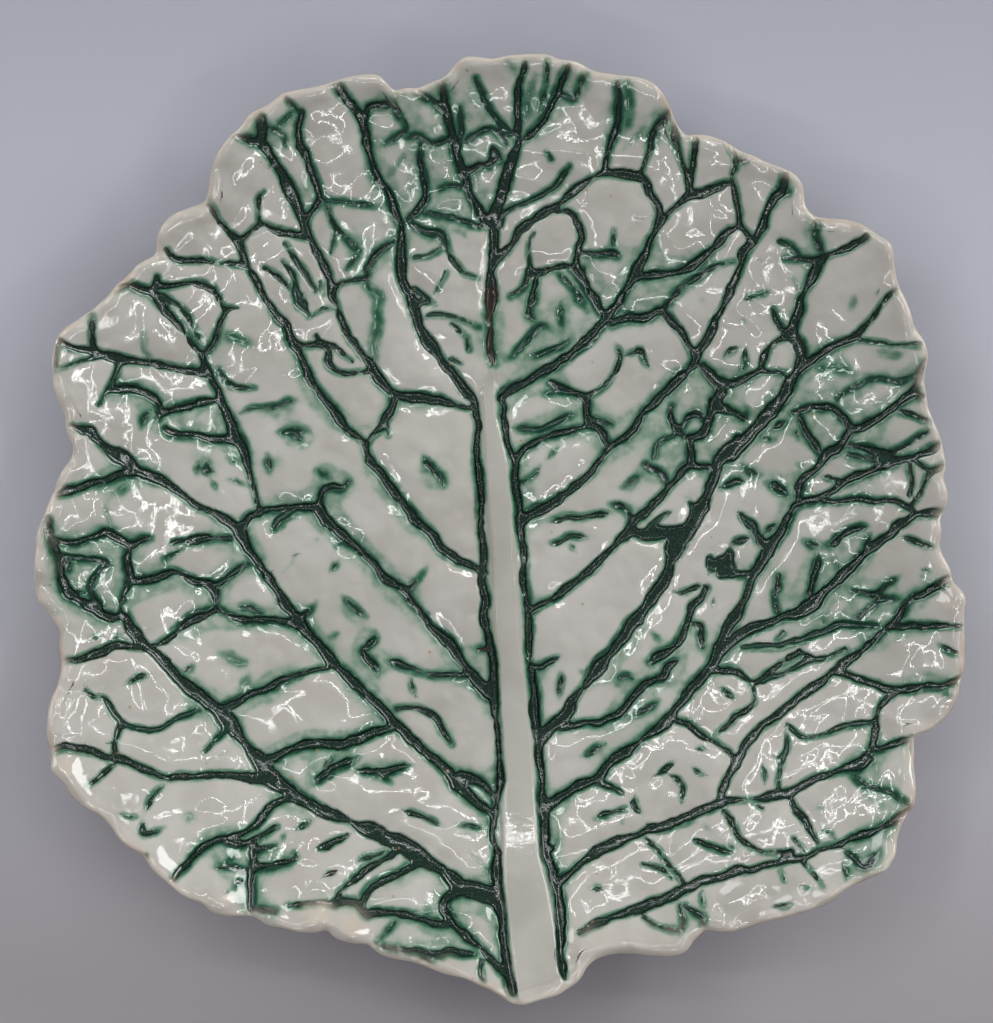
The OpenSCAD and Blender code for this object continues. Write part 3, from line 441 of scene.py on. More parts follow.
# The small veins and creases of the panels between, in the same form.
SMALL_VEINS = """
C 0.6 0.4 -100,401 -124,372
C 0.6 0.4 -48,317 -34,307
G 1.0 0.7 -197,350 -160,344 -131,342
C 0.6 0.4 -134,326 -120,319
C 0.6 0.4 -154,323 -138,323
C 0.6 0.4 -260,387 -246,381
C 0.6 0.4 -271,380 -266,372
C 0.6 0.4 129,398 160,426
C 0.6 0.4 139,331 151,328 164,333
C 0.6 0.4 312,272 319,264 325,249
C 0.6 0.4 275,249 294,252
G 1.1 1.0 280,285 283,283
D 1.1 1.1 -328,72 -328,58
D 1.2 0.9 -317,74 -318,64 -308,61
L 0.9 0.7 -419,37 -410,42 -403,47
C 0.6 0.4 -426,32 -426,23 -424,15 -422,8 -423,-1
D 0.8 0.6 -389,109 -385,120 -378,126
L 0.9 0.7 -300,208 -290,203 -277,199 -266,197
G 0.9 0.6 -281,122 -272,126 -259,128 -242,130 -233,135 -223,138
G 0.7 0.6 -297,77 -291,73 -284,74
G 0.7 0.6 -293,53 -284,50 -275,45
D 0.9 0.9 -252,80 -250,67 -249,58
G 0.8 0.7 -314,53 -309,46 -308,37
C 0.6 0.4 -160,108 -151,109 -142,113 -133,117
G 0.9 0.7 -242,102 -228,103 -210,104
G 0.7 0.6 -232,100 -219,97 -215,89
G 0.7 0.6 -201,64 -192,58 -185,51
D 1.2 0.9 -84,78 -77,67 -70,57 -64,50 -61,42
D 0.7 0.5 -82,58 -76,60
G 0.8 0.7 18,50 25,48 32,53 41,60 46,67
G 0.7 0.6 52,74 57,81 63,87
G 0.9 0.8 14,109 25,108 41,106 54,109 65,115 75,120 83,124
G 0.9 0.7 48,145 61,146 75,144
G 0.9 0.7 30,183 43,185 56,190 66,197 77,204
G 1.1 0.9 9,180 16,185 25,194 32,203 39,211 47,215 56,214
D 0.8 0.7 38,218 32,226 32,234 34,243 36,252
G 0.7 0.6 68,243 66,233 66,222 68,213
G 0.7 0.6 79,255 86,245 95,234
D 0.7 0.7 92,141 102,146 115,155 124,166 129,175 131,183 128,192 125,196
D 0.7 0.6 133,183 144,187 151,190 155,185 160,176 165,171
G 1.0 0.8 133,233 144,227
D 0.8 0.7 259,48 248,46 237,43
D 1.1 0.9 120,27 131,23 140,18 146,9
D 1.1 1.0 54,6 65,9 75,13 86,12 104,15 122,18
G 0.9 0.8 133,43 144,50 155,58
G 0.8 0.7 200,36 205,30 210,22
G 0.8 0.7 162,1 169,8 178,15 191,20
D 0.9 0.8 237,125 246,124 255,118
D 0.8 0.7 259,157 248,155 239,159
D 0.8 0.6 243,182 248,189 259,194
L 0.8 0.6 210,240 221,245
L 0.8 0.6 403,185 419,183 434,186
G 0.9 0.7 267,196 266,185 265,175 261,164
G 0.8 0.7 259,196 250,189 243,182
G 0.9 0.7 261,242 272,246 283,249 294,253
L 0.7 0.5 258,227 263,222 269,218
L 0.7 0.6 383,250 383,238 380,226
G 0.7 0.5 409,254 407,245
G 0.8 0.7 362,131 365,138 374,145 387,152 401,157 416,157 430,157 443,160 452,162
L 0.7 0.6 342,169 355,168 365,169 376,168 382,164
D 1.1 0.9 270,51 259,51 250,49 240,43
D 1.0 0.9 290,50 299,46 308,41 315,34
D 1.0 0.8 347,58 358,55 369,51
D 0.8 0.7 335,55 333,48
D 0.9 0.8 284,97 297,95
D 1.0 0.8 293,104 304,111 315,114
D 1.2 1.0 322,106 323,97
D 1.0 0.8 263,67 274,62 284,58
G 1.4 1.2 322,70 326,68
D 1.2 1.0 256,16 265,9 272,2 277,-5
D 0.9 0.9 240,131 249,127 258,122 267,118 270,127
D 0.8 0.7 259,122 256,115
C 0.6 0.4 -498,-57 -484,-59
C 0.6 0.4 -489,-90 -472,-89
C 0.6 0.4 -474,-107 -466,-104
G 1.0 0.8 -421,-119 -408,-112
G 0.9 0.7 -444,-115 -432,-115
G 0.7 0.6 -426,-225 -417,-226
C 0.6 0.4 -422,-162 -428,-169 -439,-174
C 0.6 0.4 -443,-151 -446,-158 -448,-167
D 1.0 0.8 -408,-165 -398,-161 -387,-156 -378,-153
B 0.6 0.5 -334,-140 -338,-147 -345,-153
L 0.8 0.6 -304,-131 -293,-135 -282,-140 -272,-141
L 0.7 0.6 -273,-154 -279,-169
C 0.7 0.5 -290,-234 -299,-237 -309,-242 -318,-248
D 0.8 0.7 -241,-242 -250,-244
D 1.3 0.8 -102,-67 -95,-60 -88,-53 -80,-41
B 0.8 0.6 -12,-127 -23,-128 -30,-126
D 1.1 0.9 -217,-93 -208,-85 -201,-77
D 1.1 0.9 -124,-140 -111,-144 -98,-149 -86,-153 -71,-154 -57,-155 -44,-156 -34,-156
G 1.0 0.8 -170,-72 -163,-81 -156,-88 -147,-95
D 1.2 0.9 -138,-111 -136,-116 -143,-123 -150,-130 -145,-139 -136,-146 -133,-156
G 0.8 0.7 -185,-44 -179,-38 -176,-33
G 0.8 0.7 -185,-116 -178,-111
G 1.0 0.8 -177,-18 -170,-14
C 0.6 0.5 -246,-46 -233,-42 -226,-33 -226,-21
C 0.6 0.4 -205,-11 -194,-13
B 0.7 0.6 -227,-29 -220,-26
G 0.8 0.7 -242,0 -237,7
D 0.8 0.7 -98,-158 -97,-167 -91,-179
D 0.8 0.7 -192,-258 -188,-248 -183,-241
D 0.8 0.7 -163,-244 -154,-239
D 1.0 0.9 50,-16 61,-16 72,-12 77,-9 97,-9
D 0.8 0.7 75,-17 84,-24
D 1.2 1.0 32,-142 39,-145 47,-146 56,-140 65,-135
D 0.9 0.7 68,-151 66,-162 63,-172 61,-181
D 0.9 0.8 86,-153 93,-158
D 1.1 0.8 88,-242 97,-239 106,-234 115,-230
D 1.0 0.8 147,-198 156,-193 167,-188 174,-184
D 0.9 0.7 129,-165 133,-158 140,-157 147,-162
D 0.9 0.8 167,-111 174,-119
D 1.0 0.9 189,-67 198,-67 209,-63 223,-60
D 1.3 1.1 228,-26 228,-40 228,-49
D 1.3 1.2 228,-49 237,-38 246,-33 253,-39 259,-45
D 0.9 0.8 234,-74 232,-84
D 1.0 0.8 212,-232 228,-235
G 0.9 0.7 237,-169 246,-174 257,-183
D 1.3 1.1 270,11 276,0 281,-10 288,-19
D 1.1 0.9 285,-7 294,2 301,7
D 1.1 1.0 250,-16 261,-12 274,-9
D 1.3 1.2 252,-17 249,-28 245,-38 240,-46 250,-47 263,-47 276,-47
D 0.9 0.8 329,-12 338,-16 347,-17
D 1.1 1.0 346,-26 347,-33 344,-44 342,-54 337,-67 331,-75
D 1.0 0.8 355,-19 364,-16 369,-9 380,-2 392,2 401,2
D 0.9 0.8 403,-5 398,-14 392,-24
D 0.9 0.8 365,-35 369,-44
D 0.8 0.6 434,-9 445,-12 455,-15 466,-17 473,-20
D 0.8 0.7 350,-96 352,-100
G 1.0 0.8 434,-75 423,-75 412,-77 401,-84 391,-91 380,-98
D 0.8 0.7 374,-61 385,-65 396,-68 407,-71 418,-74
D 0.8 0.7 409,-69 416,-63 423,-56 432,-50
D 1.1 0.8 446,-220 446,-240 446,-258
D 0.9 0.7 337,-137 326,-131
G 1.3 1.0 309,-214 311,-225 310,-235 304,-242 302,-253
D 0.8 0.7 293,-238 297,-240
D 0.8 0.7 283,-248 284,-258
D 0.8 0.6 475,-169 486,-176
D 0.9 0.8 475,-121 486,-126 500,-133
D 0.8 0.6 455,-43 464,-45
D 0.7 0.6 453,-50 456,-50
G 0.8 0.6 -417,-300 -407,-301 -396,-303 -387,-305
D 0.8 0.7 -382,-301 -379,-292 -376,-285 -369,-276 -362,-269
D 0.8 0.6 -384,-306 -384,-315 -382,-322 -371,-321 -362,-317
D 1.1 0.9 -415,-315 -410,-318
D 1.1 0.9 -387,-342 -375,-345
L 0.7 0.5 -342,-304 -331,-303
D 0.7 0.6 -288,-376 -282,-371 -275,-375
B 0.8 0.6 -298,-380 -292,-380
D 2.0 1.4 -203,-271 -196,-264 -188,-259 -181,-253 -174,-250 -165,-245 -158,-241
D 1.2 1.0 -160,-256 -149,-256 -138,-258 -127,-258 -116,-255 -106,-252 -95,-251
D 0.9 0.7 -127,-260 -118,-270
D 1.1 0.9 -106,-297 -95,-303 -84,-307 -73,-311 -62,-315
G 0.9 0.8 -50,-313 -37,-315 -26,-317 -14,-318
D 0.9 0.8 -38,-324 -35,-324
C 0.8 0.6 -35,-334 -32,-343 -26,-352 -17,-359 -8,-368
D 0.8 0.7 -233,-320 -237,-329
D 0.9 0.7 -223,-318 -215,-315 -206,-310
D 1.3 1.1 -201,-339 -190,-337 -179,-332 -170,-327 -162,-321
D 1.1 0.9 -158,-355 -147,-350 -136,-346 -125,-342 -118,-340
D 0.9 0.8 -82,-406 -78,-406
G 1.2 1.0 -195,-386 -189,-384
B 0.9 0.7 -194,-369 -183,-364 -174,-360
D 1.0 0.8 101,-267 111,-271 122,-275 133,-281
D 1.1 0.9 165,-262 174,-258 183,-252 192,-247
D 1.0 0.8 183,-259 192,-264 200,-273 201,-280 199,-290
D 1.0 0.8 207,-252 216,-259 225,-262
D 1.0 0.8 147,-281 146,-292 149,-297 156,-304
D 0.9 0.8 144,-297 133,-300 122,-303 111,-304 101,-307
D 0.8 0.7 129,-310 135,-316
D 0.8 0.7 158,-311 165,-315
D 1.4 1.2 97,-379 106,-380 115,-381
D 1.0 0.9 56,-332 57,-341 63,-332
D 1.0 0.8 205,-329 218,-332 228,-335 241,-339 254,-343
D 0.8 0.7 246,-331 257,-338
D 0.8 0.7 221,-313 227,-318
L 0.7 0.5 340,-297 355,-292
G 0.8 0.7 283,-246 286,-257 286,-269
G 0.9 0.8 306,-243 303,-253 302,-264 300,-276
D 0.9 0.7 369,-338 378,-346 392,-356 400,-348 409,-339
D 0.7 0.6 369,-352 373,-362 373,-370
D 0.7 0.6 322,-375 337,-379
D 0.8 0.6 317,-389 306,-395 293,-397
C 0.6 0.4 419,-324 426,-327
"""


# The rolled lobes of the rim: their places in the same shares, and then each one's radius and
# rise in millimetres and how far the bare pink clay shows on it.
LOBES = """
-196,-407 5.5 1.7 1.0
-161,-421 7.0 1.7 0.8
-247,-412 5.0 1.1 0.3
-298,-391 4.5 0.9 0.5
-118,-450 5.0 1.1 0.3
-57,-464 5.0 0.9 0.3
-468,-251 4.5 1.1 0.8
-455,-278 4.5 1.0 0.6
-482,-188 4.0 0.9 0.3
-480,-156 4.0 0.9 0.3
-391,-346 4.0 0.9 0.5
-490,-10 4.0 1.2 0.2
-489,-40 4.0 1.2 0.2
100,-437 6.5 1.4 0.3
130,-441 6.5 1.4 0.2
160,-436 6.5 1.4 0.3
190,-427 6.5 1.3 0.2
484,-78 4.0 0.8 1.0
352,-392 5.0 1.0 0.3
-320,340 5.0 0.9 0.4
-110,470 4.5 0.9 0.3
"""


class Kind(Enum):
    """How a vein of the leaf took the glaze."""

    DARK = "D"
    GREEN = "G"
    LIGHT = "L"
    BROWN = "B"
    CREASE = "C"


class Attribute(Enum):
    """What each point of a glazed face knows, for its finish."""

    ACROSS = "across"
    DARK = "dark"
    WASH = "wash"
    BROWN = "brown"
    RIM = "rim"


@dataclass(frozen=True)
class Pooling:
    """The groove of one kind of vein and the glaze that ran into it."""

    depth: float  # of the groove in millimetres
    dark: float  # how full it is of dark glaze, from 0 to 1
    wash: float  # how strong the green beside it is, from 0 to 1
    bleed: float  # how far that green ran, in millimetres
    brown: float = 0.0  # how much manganese coloured it, from 0 to 1
    width: float = 0.86  # share of the width in the tables that the groove takes


POOLING = {
    Kind.DARK: Pooling(depth=1.3, dark=1.0, wash=0.95, bleed=0.85),
    Kind.GREEN: Pooling(depth=0.85, dark=0.7, wash=0.85, bleed=0.8, width=0.75),
    Kind.LIGHT: Pooling(depth=0.45, dark=0.2, wash=0.5, bleed=1.2),
    Kind.BROWN: Pooling(depth=1.3, dark=1.0, wash=0.6, bleed=0.9, brown=1.0),
    Kind.CREASE: Pooling(depth=0.55, dark=0.12, wash=0.2, bleed=0.8),
}


@dataclass(frozen=True)
class Leaf:
    """The leaf's own sizes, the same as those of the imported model."""

    width: float = 342.0
    length: float = 350.0
    wall: float = 6.0
    face_height: float = 14.0
    flat_radius: float = 65.0
    rim_radius: float = 173.0
    rim_rise: float = 27.0
    rim_wave: float = 4.0
    rise_power: float = 1.7
    waves: tuple[tuple[float, int, float], ...] = (
        (0.6, 3, 40), (0.5, 5, -20), (0.35, 8, 100),  # share, number of lobes, turn
    )

    def place(self, text: str) -> np.ndarray:
        """Turns a table of shares into places.

        Args:
            text: pairs of shares in thousandths, such as "476,0 474,8".

        Returns:
            The places in millimetres, one to a row.
        """
        shares = np.array([[float(n) for n in pair.split(",")] for pair in text.split()])
        return shares * (self.width / SHARES, self.length / SHARES)

    def face(self, x: np.ndarray, y: np.ndarray) -> np.ndarray:
        """Height of the pressed face.

        Args:
            x: places across the dish.
            y: places along the dish.

        Returns:
            The heights of the slab's upper face there, before any vein or ripple.
        """
        reach = np.maximum(0, (np.hypot(x, y) - self.flat_radius)
                           / (self.rim_radius - self.flat_radius))
        angle = np.degrees(np.arctan2(y, x))
        wave = sum(share * np.sin(np.radians(lobes * angle + turn))
                   for share, lobes, turn in self.waves)
        return (self.face_height + self.rim_rise * reach ** self.rise_power
                + self.rim_wave * reach ** 2 * wave)


def soft_step(low: float, high: float, value: np.ndarray) -> np.ndarray:
    """Rises smoothly from 0 at low to 1 at high."""
    t = np.clip((value - low) / (high - low), 0, 1)
    return t * t * (3 - 2 * t)


def veins(table: str) -> list[str]:
    """Splits a table of veins, each of which starts a line with its kind."""
    return re.split(r"\n(?=[A-Z])", table.strip())


def smooth_run(points: np.ndarray, step: float) -> np.ndarray:
    """Draws a smooth run through the points of a vein.

    Args:
        points: the places that it runs through.
        step: the distance between two places of the run.

    Returns:
        The places of the run, evenly spaced.
    """
    if len(points) > 2:
        ends = np.vstack([2 * points[0] - points[1], points, 2 * points[-1] - points[-2]])
        t = np.linspace(0, 1, 8, endpoint=False)[:, None]  # places to a span
        spans = []
        for a, b, c, d in zip(ends, ends[1:], ends[2:], ends[3:]):
            spans.append(0.5 * (2 * b + (c - a) * t + (2 * a - 5 * b + 4 * c - d) * t ** 2
                                + (3 * b - a - 3 * c + d) * t ** 3))
        points = np.vstack(spans + [points[-1:]])
    length = np.concatenate([[0], np.cumsum(np.hypot(*np.diff(points, axis=0).T))])
    even = np.linspace(0, length[-1], max(3, round(length[-1] / step) + 1))
    return np.column_stack([np.interp(even, length, points[:, k]) for k in (0, 1)])


@dataclass
class Rim:
    """The wavy edge of the leaf, as a radius for each direction from its middle."""

    leaf: Leaf
    steps: int = 2880
    smooth: int = 9  # steps on each side over which the outline is evened out
    bell: float = 3.0
    reach: int = 3  # steps on each side between which its slant is measured
    least_slant: float = 0.45
    radii: np.ndarray = field(init=False)
    slant: np.ndarray = field(init=False)

    def __post_init__(self) -> None:
        """Reads the outline and measures how it slants to the radius."""
        points = self.leaf.place(OUTLINE)
        angles = np.unwrap(np.arctan2(points[:, 1], points[:, 0]))
        angles = np.maximum.accumulate(angles)
        turn = 2 * np.pi
        sizes = np.hypot(*points.T)
        around = np.arange(self.steps) * turn / self.steps
        self.radii = np.interp(around, np.concatenate([angles - turn, angles, angles + turn]),
                               np.tile(sizes, 3))
        side = self.smooth
        near = np.exp(-0.5 * (np.arange(-side, side + 1) / self.bell) ** 2)
        closed = np.concatenate([self.radii[-side:], self.radii, self.radii[:side]])
        self.radii = np.convolve(closed, near / near.sum(), "valid")
        rise = np.roll(self.radii, -self.reach) - np.roll(self.radii, self.reach)
        slope = rise / (2 * self.reach * turn / self.steps)
        self.slant = np.clip(self.radii / np.hypot(self.radii, slope), self.least_slant, 1)

    def at(self, angle: np.ndarray, values: np.ndarray) -> np.ndarray:
        """Interpolates one of the rim's lists at the given angles.

        Args:
            angle: the directions from the middle, in radians.
            values: the list, with one value for each step round the rim.

        Returns:
            The list's value in each direction.
        """
        share = np.mod(angle, 2 * np.pi) / (2 * np.pi) * self.steps
        return np.interp(share, np.arange(self.steps + 1), np.append(values, values[0]))

    def inset(self, x: np.ndarray, y: np.ndarray) -> np.ndarray:
        """Measures how far places lie inside the rim.

        Args:
            x: places across the dish.
            y: places along the dish.

        Returns:
            Their distances from the rim, less than 0 outside it.
        """
        angle = np.arctan2(y, x)
        return (self.at(angle, self.radii) - np.hypot(x, y)) * self.at(angle, self.slant)


@dataclass(frozen=True)
class Ripple:
    """An even, seeded unevenness of the clay or of the glaze."""

    spread: float  # size of its lumps in millimetres
    swing: float  # how strong it is
    seed: int


WANDER = (Ripple(2.6, 0.28, 11), Ripple(2.6, 0.28, 12))  # how a vein strays, across and along
RAGGED = Ripple(0.8, 0.2, 13)  # how the edge of a pool crawled
SWELL = Ripple(2.8, 0.22, 14)  # how a vein's width varies
DRIFT = (Ripple(6, 0.35, 15), Ripple(6, 0.35, 16))  # how the green ran aside
FLOOD = Ripple(9, 0.4, 17)  # how much more green ran here than there
LUMPS = Ripple(9, 0.42, 21)
GRAIN = Ripple(1.5, 0.028, 23)
RIB = Ripple(5, 0.12, 24)
PINCH = Ripple(3.0, 0.45, 25)
FOLDS = (Ripple(3.4, 1.0, 26), Ripple(3.4, 1.0, 27))
BACK = Ripple(8, 0.25, 31)


@dataclass(frozen=True)
class VeinForm:
    """How a vein is pressed into the clay and how the glaze fills it, in millimetres."""

    step: float = 0.5  # from one place of its run to the next
    wall: tuple[float, float] = (0.6, 1.4)  # from its floor to its shoulder, in half widths
    full_half: float = 1.3  # half width from which it is pressed to its whole depth
    joined_depth: float = 0.25  # of an earlier groove, in which its end counts as joined
    tip_length: float = 4.0  # of the taper at a free end
    tip_share: float = 0.8  # of its width that a main vein keeps there
    small_tip_share: float = 0.25
    small_fill: float = 0.85  # share of the dark glaze that a small vein took
    reach: float = 1.6  # how far it is worked out, in half widths
    wash_reach: float = 3.0  # and beyond that, in bleeds
    wash_start: float = 0.8  # where its wash begins to fade, in half widths
    wash_range: tuple[float, float] = (0.6, 1.2)  # least and most that the flood makes of it
    flood: float = 0.8  # mean of the flood, and its least and most
    flood_range: tuple[float, float] = (0.15, 1.7)
    web_spread: float = 0.9  # how far the glaze draws into the corner between two pools
    web_pull: float = 2.2
    web_depth: float = 1.2
    web_core: float = 0.5  # how dark a pool has to be to draw, and below that, to be drawn
    web_edge: float = 0.3


@dataclass(frozen=True)
class FaceForm:
    """How the panels, the midrib and the rim stand up from the dish, in millimetres."""

    haze_spread: float = 2.8  # of the thin green between the veins
    haze_run: float = 3.0  # how many times farther than the wash it ran aside
    haze_share: float = 0.7
    haze_most: float = 0.27
    sink_spread: float = 3.0  # of the fall of a panel towards the veins
    sink_depth: float = 1.2  # of the groove that draws it down in full
    crown: float = 0.45  # of a panel's middle
    fall: float = 3.7  # of its edge, and how that levels off beside a deep vein
    fall_limit: float = 0.9
    fold: float = 0.14  # of its creases, and how round they are
    fold_round: float = 0.015
    crimp: float = 0.5  # how much more the panels are folded towards the rim
    crimp_reach: float = 40.0
    rib_proud: float = 0.45  # of the midrib at its tip
    rib_rise: float = 1.5  # that it gains towards the stalk
    rib_run: float = 40.0  # over this length, from this far up
    rib_start: float = 60.0
    rib_round: float = 0.5  # of its back
    rib_edge: tuple[float, float] = (-0.3, 2.4)  # from its foot to its back
    rib_clean: float = 0.85  # share of the wash that ran off it
    rib_clean_width: float = 3.0
    pinch_reach: float = 11.0  # how far in from the rim the fingers pinched it
    bead: float = 0.4  # the low bead inside the lip
    bead_inset: float = 4.2
    bead_width: float = 2.4
    lip: float = 2.8  # width of the rolled edge, and how far it falls
    lip_drop: float = 2.0
    rim_glaze: float = 2.2  # width of the rim from which the glaze ran off
    lobe_edge: tuple[float, float] = (-1.0, 4.0)
    polish: float = 0.22  # spread that rounds off what is left of the raster


@dataclass
class Relief:
    """The glazed face of the dish as fields on a fine square raster.

    Every piece of the face takes its heights, its slopes and its glaze from here, so that pieces
    that meet agree along their edge.
    """

    leaf: Leaf
    rim: Rim
    vein: VeinForm = VeinForm()
    form: FaceForm = FaceForm()
    cell: float = 0.3  # in millimetres
    cells: int = 1215  # along each side of the raster
    margin: float = 2.0  # of the clay round a pool that belongs to the vein's piece
    coat_inset: float = 5.0
    parting_slant: float = 0.09  # of the line between the left panels and the right ones
    parting_height: float = 120.0  # and how far up it crosses the middle
    corner_passes: int = 12
    names: list[str] = field(default_factory=lambda: list(VEINS))
    fields: dict[Attribute, np.ndarray] = field(init=False)
    height: np.ndarray = field(init=False)
    owner: np.ndarray = field(init=False)

    def __post_init__(self) -> None:
        """Presses the veins into the face and lets the glaze run into them."""
        self.axis = (np.arange(self.cells) - self.cells // 2) * self.cell
        self.x, self.y = np.meshgrid(self.axis, self.axis)
        self.inset = self.rim.inset(self.x, self.y)
        shape = self.x.shape
        self.groove = np.zeros(shape)
        self.near = np.full(shape, FAR)
        self.owner = np.full(shape, -1)
        self.fields = {key: np.zeros(shape) for key in Attribute}
        self.fields[Attribute.ACROSS] += FAR
        self.wander = [self.noise(ripple) for ripple in WANDER]
        self.ragged = self.noise(RAGGED)
        self.swell = 1 + self.noise(SWELL)
        self.drift = [self.noise(ripple) for ripple in DRIFT]
        self.flood = np.clip(self.vein.flood + self.noise(FLOOD), *self.vein.flood_range)
        for number, table in enumerate(VEINS.values()):
            for line in veins(table):
                self.press(line, number)
        for line in veins(SMALL_VEINS):
            self.press(line, -1)
        self.web()
        self.raise_face()

    def blur(self, values: np.ndarray, spread: float) -> np.ndarray:
        """Blurs a field by a bell.

        Args:
            values: the field.
            spread: the bell's spread in millimetres.

        Returns:
            The blurred field.
        """
        rows = np.fft.fftfreq(self.cells, self.cell)[:, None]
        columns = np.fft.rfftfreq(self.cells, self.cell)[None]
        bell = np.exp(-2 * (np.pi * spread) ** 2 * (rows ** 2 + columns ** 2))
        return np.fft.irfft2(np.fft.rfft2(values) * bell, s=values.shape)

    def noise(self, ripple: Ripple) -> np.ndarray:
        """Spreads a ripple over the raster.

        Args:
            ripple: the size of its lumps, how strong it is and its seed.

        Returns:
            The ripple as a field that is 0 on average.
        """
        values = np.random.default_rng(ripple.seed).standard_normal(self.x.shape)
        values = self.blur(values, ripple.spread)
        return values / values.std() * ripple.swing

    def sample(self, values: np.ndarray, x: np.ndarray, y: np.ndarray) -> np.ndarray:
        """Reads a field at places between its cells.

        Args:
            values: the field.
            x: places across the dish.
            y: places along the dish.

        Returns:
            The field's values there, each from the four cells around it.
        """
        last = self.cells - 1.001  # a little less than the last cell, which has none beside it
        u = np.clip(x / self.cell + self.cells // 2, 0, last)
        v = np.clip(y / self.cell + self.cells // 2, 0, last)
        i, j = u.astype(int), v.astype(int)
        s, t = u - i, v - j
        return ((values[j, i] * (1 - s) + values[j, i + 1] * s) * (1 - t)
                + (values[j + 1, i] * (1 - s) + values[j + 1, i + 1] * s) * t)

    def press(self, line: str, number: int) -> None:
        """Presses one vein into the face.

        Args:
            line: its kind, its half width at both ends and the places that it runs through.
            number: the node that it belongs to, or -1 for a small vein between them.
        """
        kind, first, last, table = line.split(" ", 3)
        pooling, vein, main = POOLING[Kind(kind)], self.vein, number >= 0
        run = smooth_run(self.leaf.place(table), vein.step)
        run = run + np.column_stack([self.sample(w, *run.T) for w in self.wander])
        count = len(run)
        joined = self.sample(self.groove, *run[[0, -1]].T) > vein.joined_depth
        along = np.arange(count) * vein.step
        ends = np.minimum(along + FAR * joined[0], along[::-1] + FAR * joined[1])
        least = vein.tip_share if main else vein.small_tip_share
        taper = least + (1 - least) * soft_step(0, vein.tip_length, ends)
        halves = (np.linspace(float(first), float(last), count) * taper * pooling.width
                  * self.sample(self.swell, *run.T))
        reach = max(float(first), float(last)) * vein.reach + vein.wash_reach * pooling.bleed
        span = math.ceil(reach / self.cell)
        across, dark = self.fields[Attribute.ACROSS], self.fields[Attribute.DARK]
        wash, brown = self.fields[Attribute.WASH], self.fields[Attribute.BROWN]
        filled = pooling.dark * (1.0 if main else vein.small_fill)
        aside = np.column_stack([self.sample(d, *run.T) for d in self.drift])
        flood = np.clip(self.sample(self.flood, *run.T), *vein.wash_range) * pooling.wash
        for (px, py), half, fade, (ax, ay), strength in zip(run, halves, taper, aside, flood):
            i, j = (round(p / self.cell) + self.cells // 2 for p in (px, py))
            window = (slice(max(0, j - span), j + span + 1), slice(max(0, i - span), i + span + 1))
            gap = np.hypot(self.x[window] - px, self.y[window] - py) + self.ragged[window]
            ratio = gap / half
            closer = ratio < across[window]
            across[window] = np.where(closer, ratio, across[window])
            dark[window] = np.where(closer, filled * fade, dark[window])
            brown[window] = np.where(closer, pooling.brown, brown[window])
            bled = np.hypot(self.x[window] - px - ax, self.y[window] - py - ay)
            out = np.maximum(0, bled - vein.wash_start * half) / pooling.bleed
            halo = strength * fade * np.exp(-0.5 * out ** 2)
            wash[window] = np.maximum(wash[window], halo)
            cut = (pooling.depth * fade * min(1.0, half / vein.full_half)
                   * (1 - soft_step(*vein.wall, ratio)))
            self.groove[window] = np.maximum(self.groove[window], cut)
            if main:
                edge = gap - half
                nearer = edge < self.near[window]
                self.near[window] = np.where(nearer, edge, self.near[window])
                self.owner[window] = np.where(nearer & (edge < self.margin), number,
                                              self.owner[window])

    def web(self) -> None:
        """Fills the sharp corners where pools meet, as a liquid glaze does."""
        vein, across, dark = self.vein, self.fields[Attribute.ACROSS], self.fields[Attribute.DARK]
        full = (across < 1) & (dark > vein.web_core)
        # Blurred, the pools are a half along a straight edge, and more in a corner between two
        corner = 1 + vein.web_pull * (0.5 - self.blur(full.astype(float), vein.web_spread))
        across[:] = np.minimum(across, np.where(dark > vein.web_edge, corner, FAR))
        cut = vein.web_depth * (1 - soft_step(*vein.wall, corner))
        self.groove = np.maximum(self.groove, cut)

    def midrib_share(self) -> tuple[np.ndarray, np.ndarray]:
        """Where the midrib lies.

        Returns:
            How far each cell lies inside the midrib's nearer edge, less than 0 outside it, and
            the share of the way from its left edge to its right one.
        """
        left, right = (self.leaf.place(t)[::-1] for t in (MIDRIB_LEFT, MIDRIB_RIGHT))
        low = np.interp(self.y, left[:, 1], left[:, 0])
        high = np.interp(self.y, right[:, 1], right[:, 0])
        inside = np.minimum(self.x - low, high - self.x)
        inside[self.y > left[-1, 1]] = -FAR
        return inside, np.clip((self.x - low) / np.maximum(high - low, 0.1), 0, 1)

    def spread_haze(self) -> None:
        """Lets a thin haze of green run out beyond the veins."""
        form, wash = self.form, self.fields[Attribute.WASH]
        haze = self.sample(self.blur(wash, form.haze_spread),
                           self.x + form.haze_run * self.drift[0],
                           self.y + form.haze_run * self.drift[1])
        most = np.clip(form.haze_share * haze * self.flood ** 2, 0, form.haze_most)
        wash += most * (1 - wash)

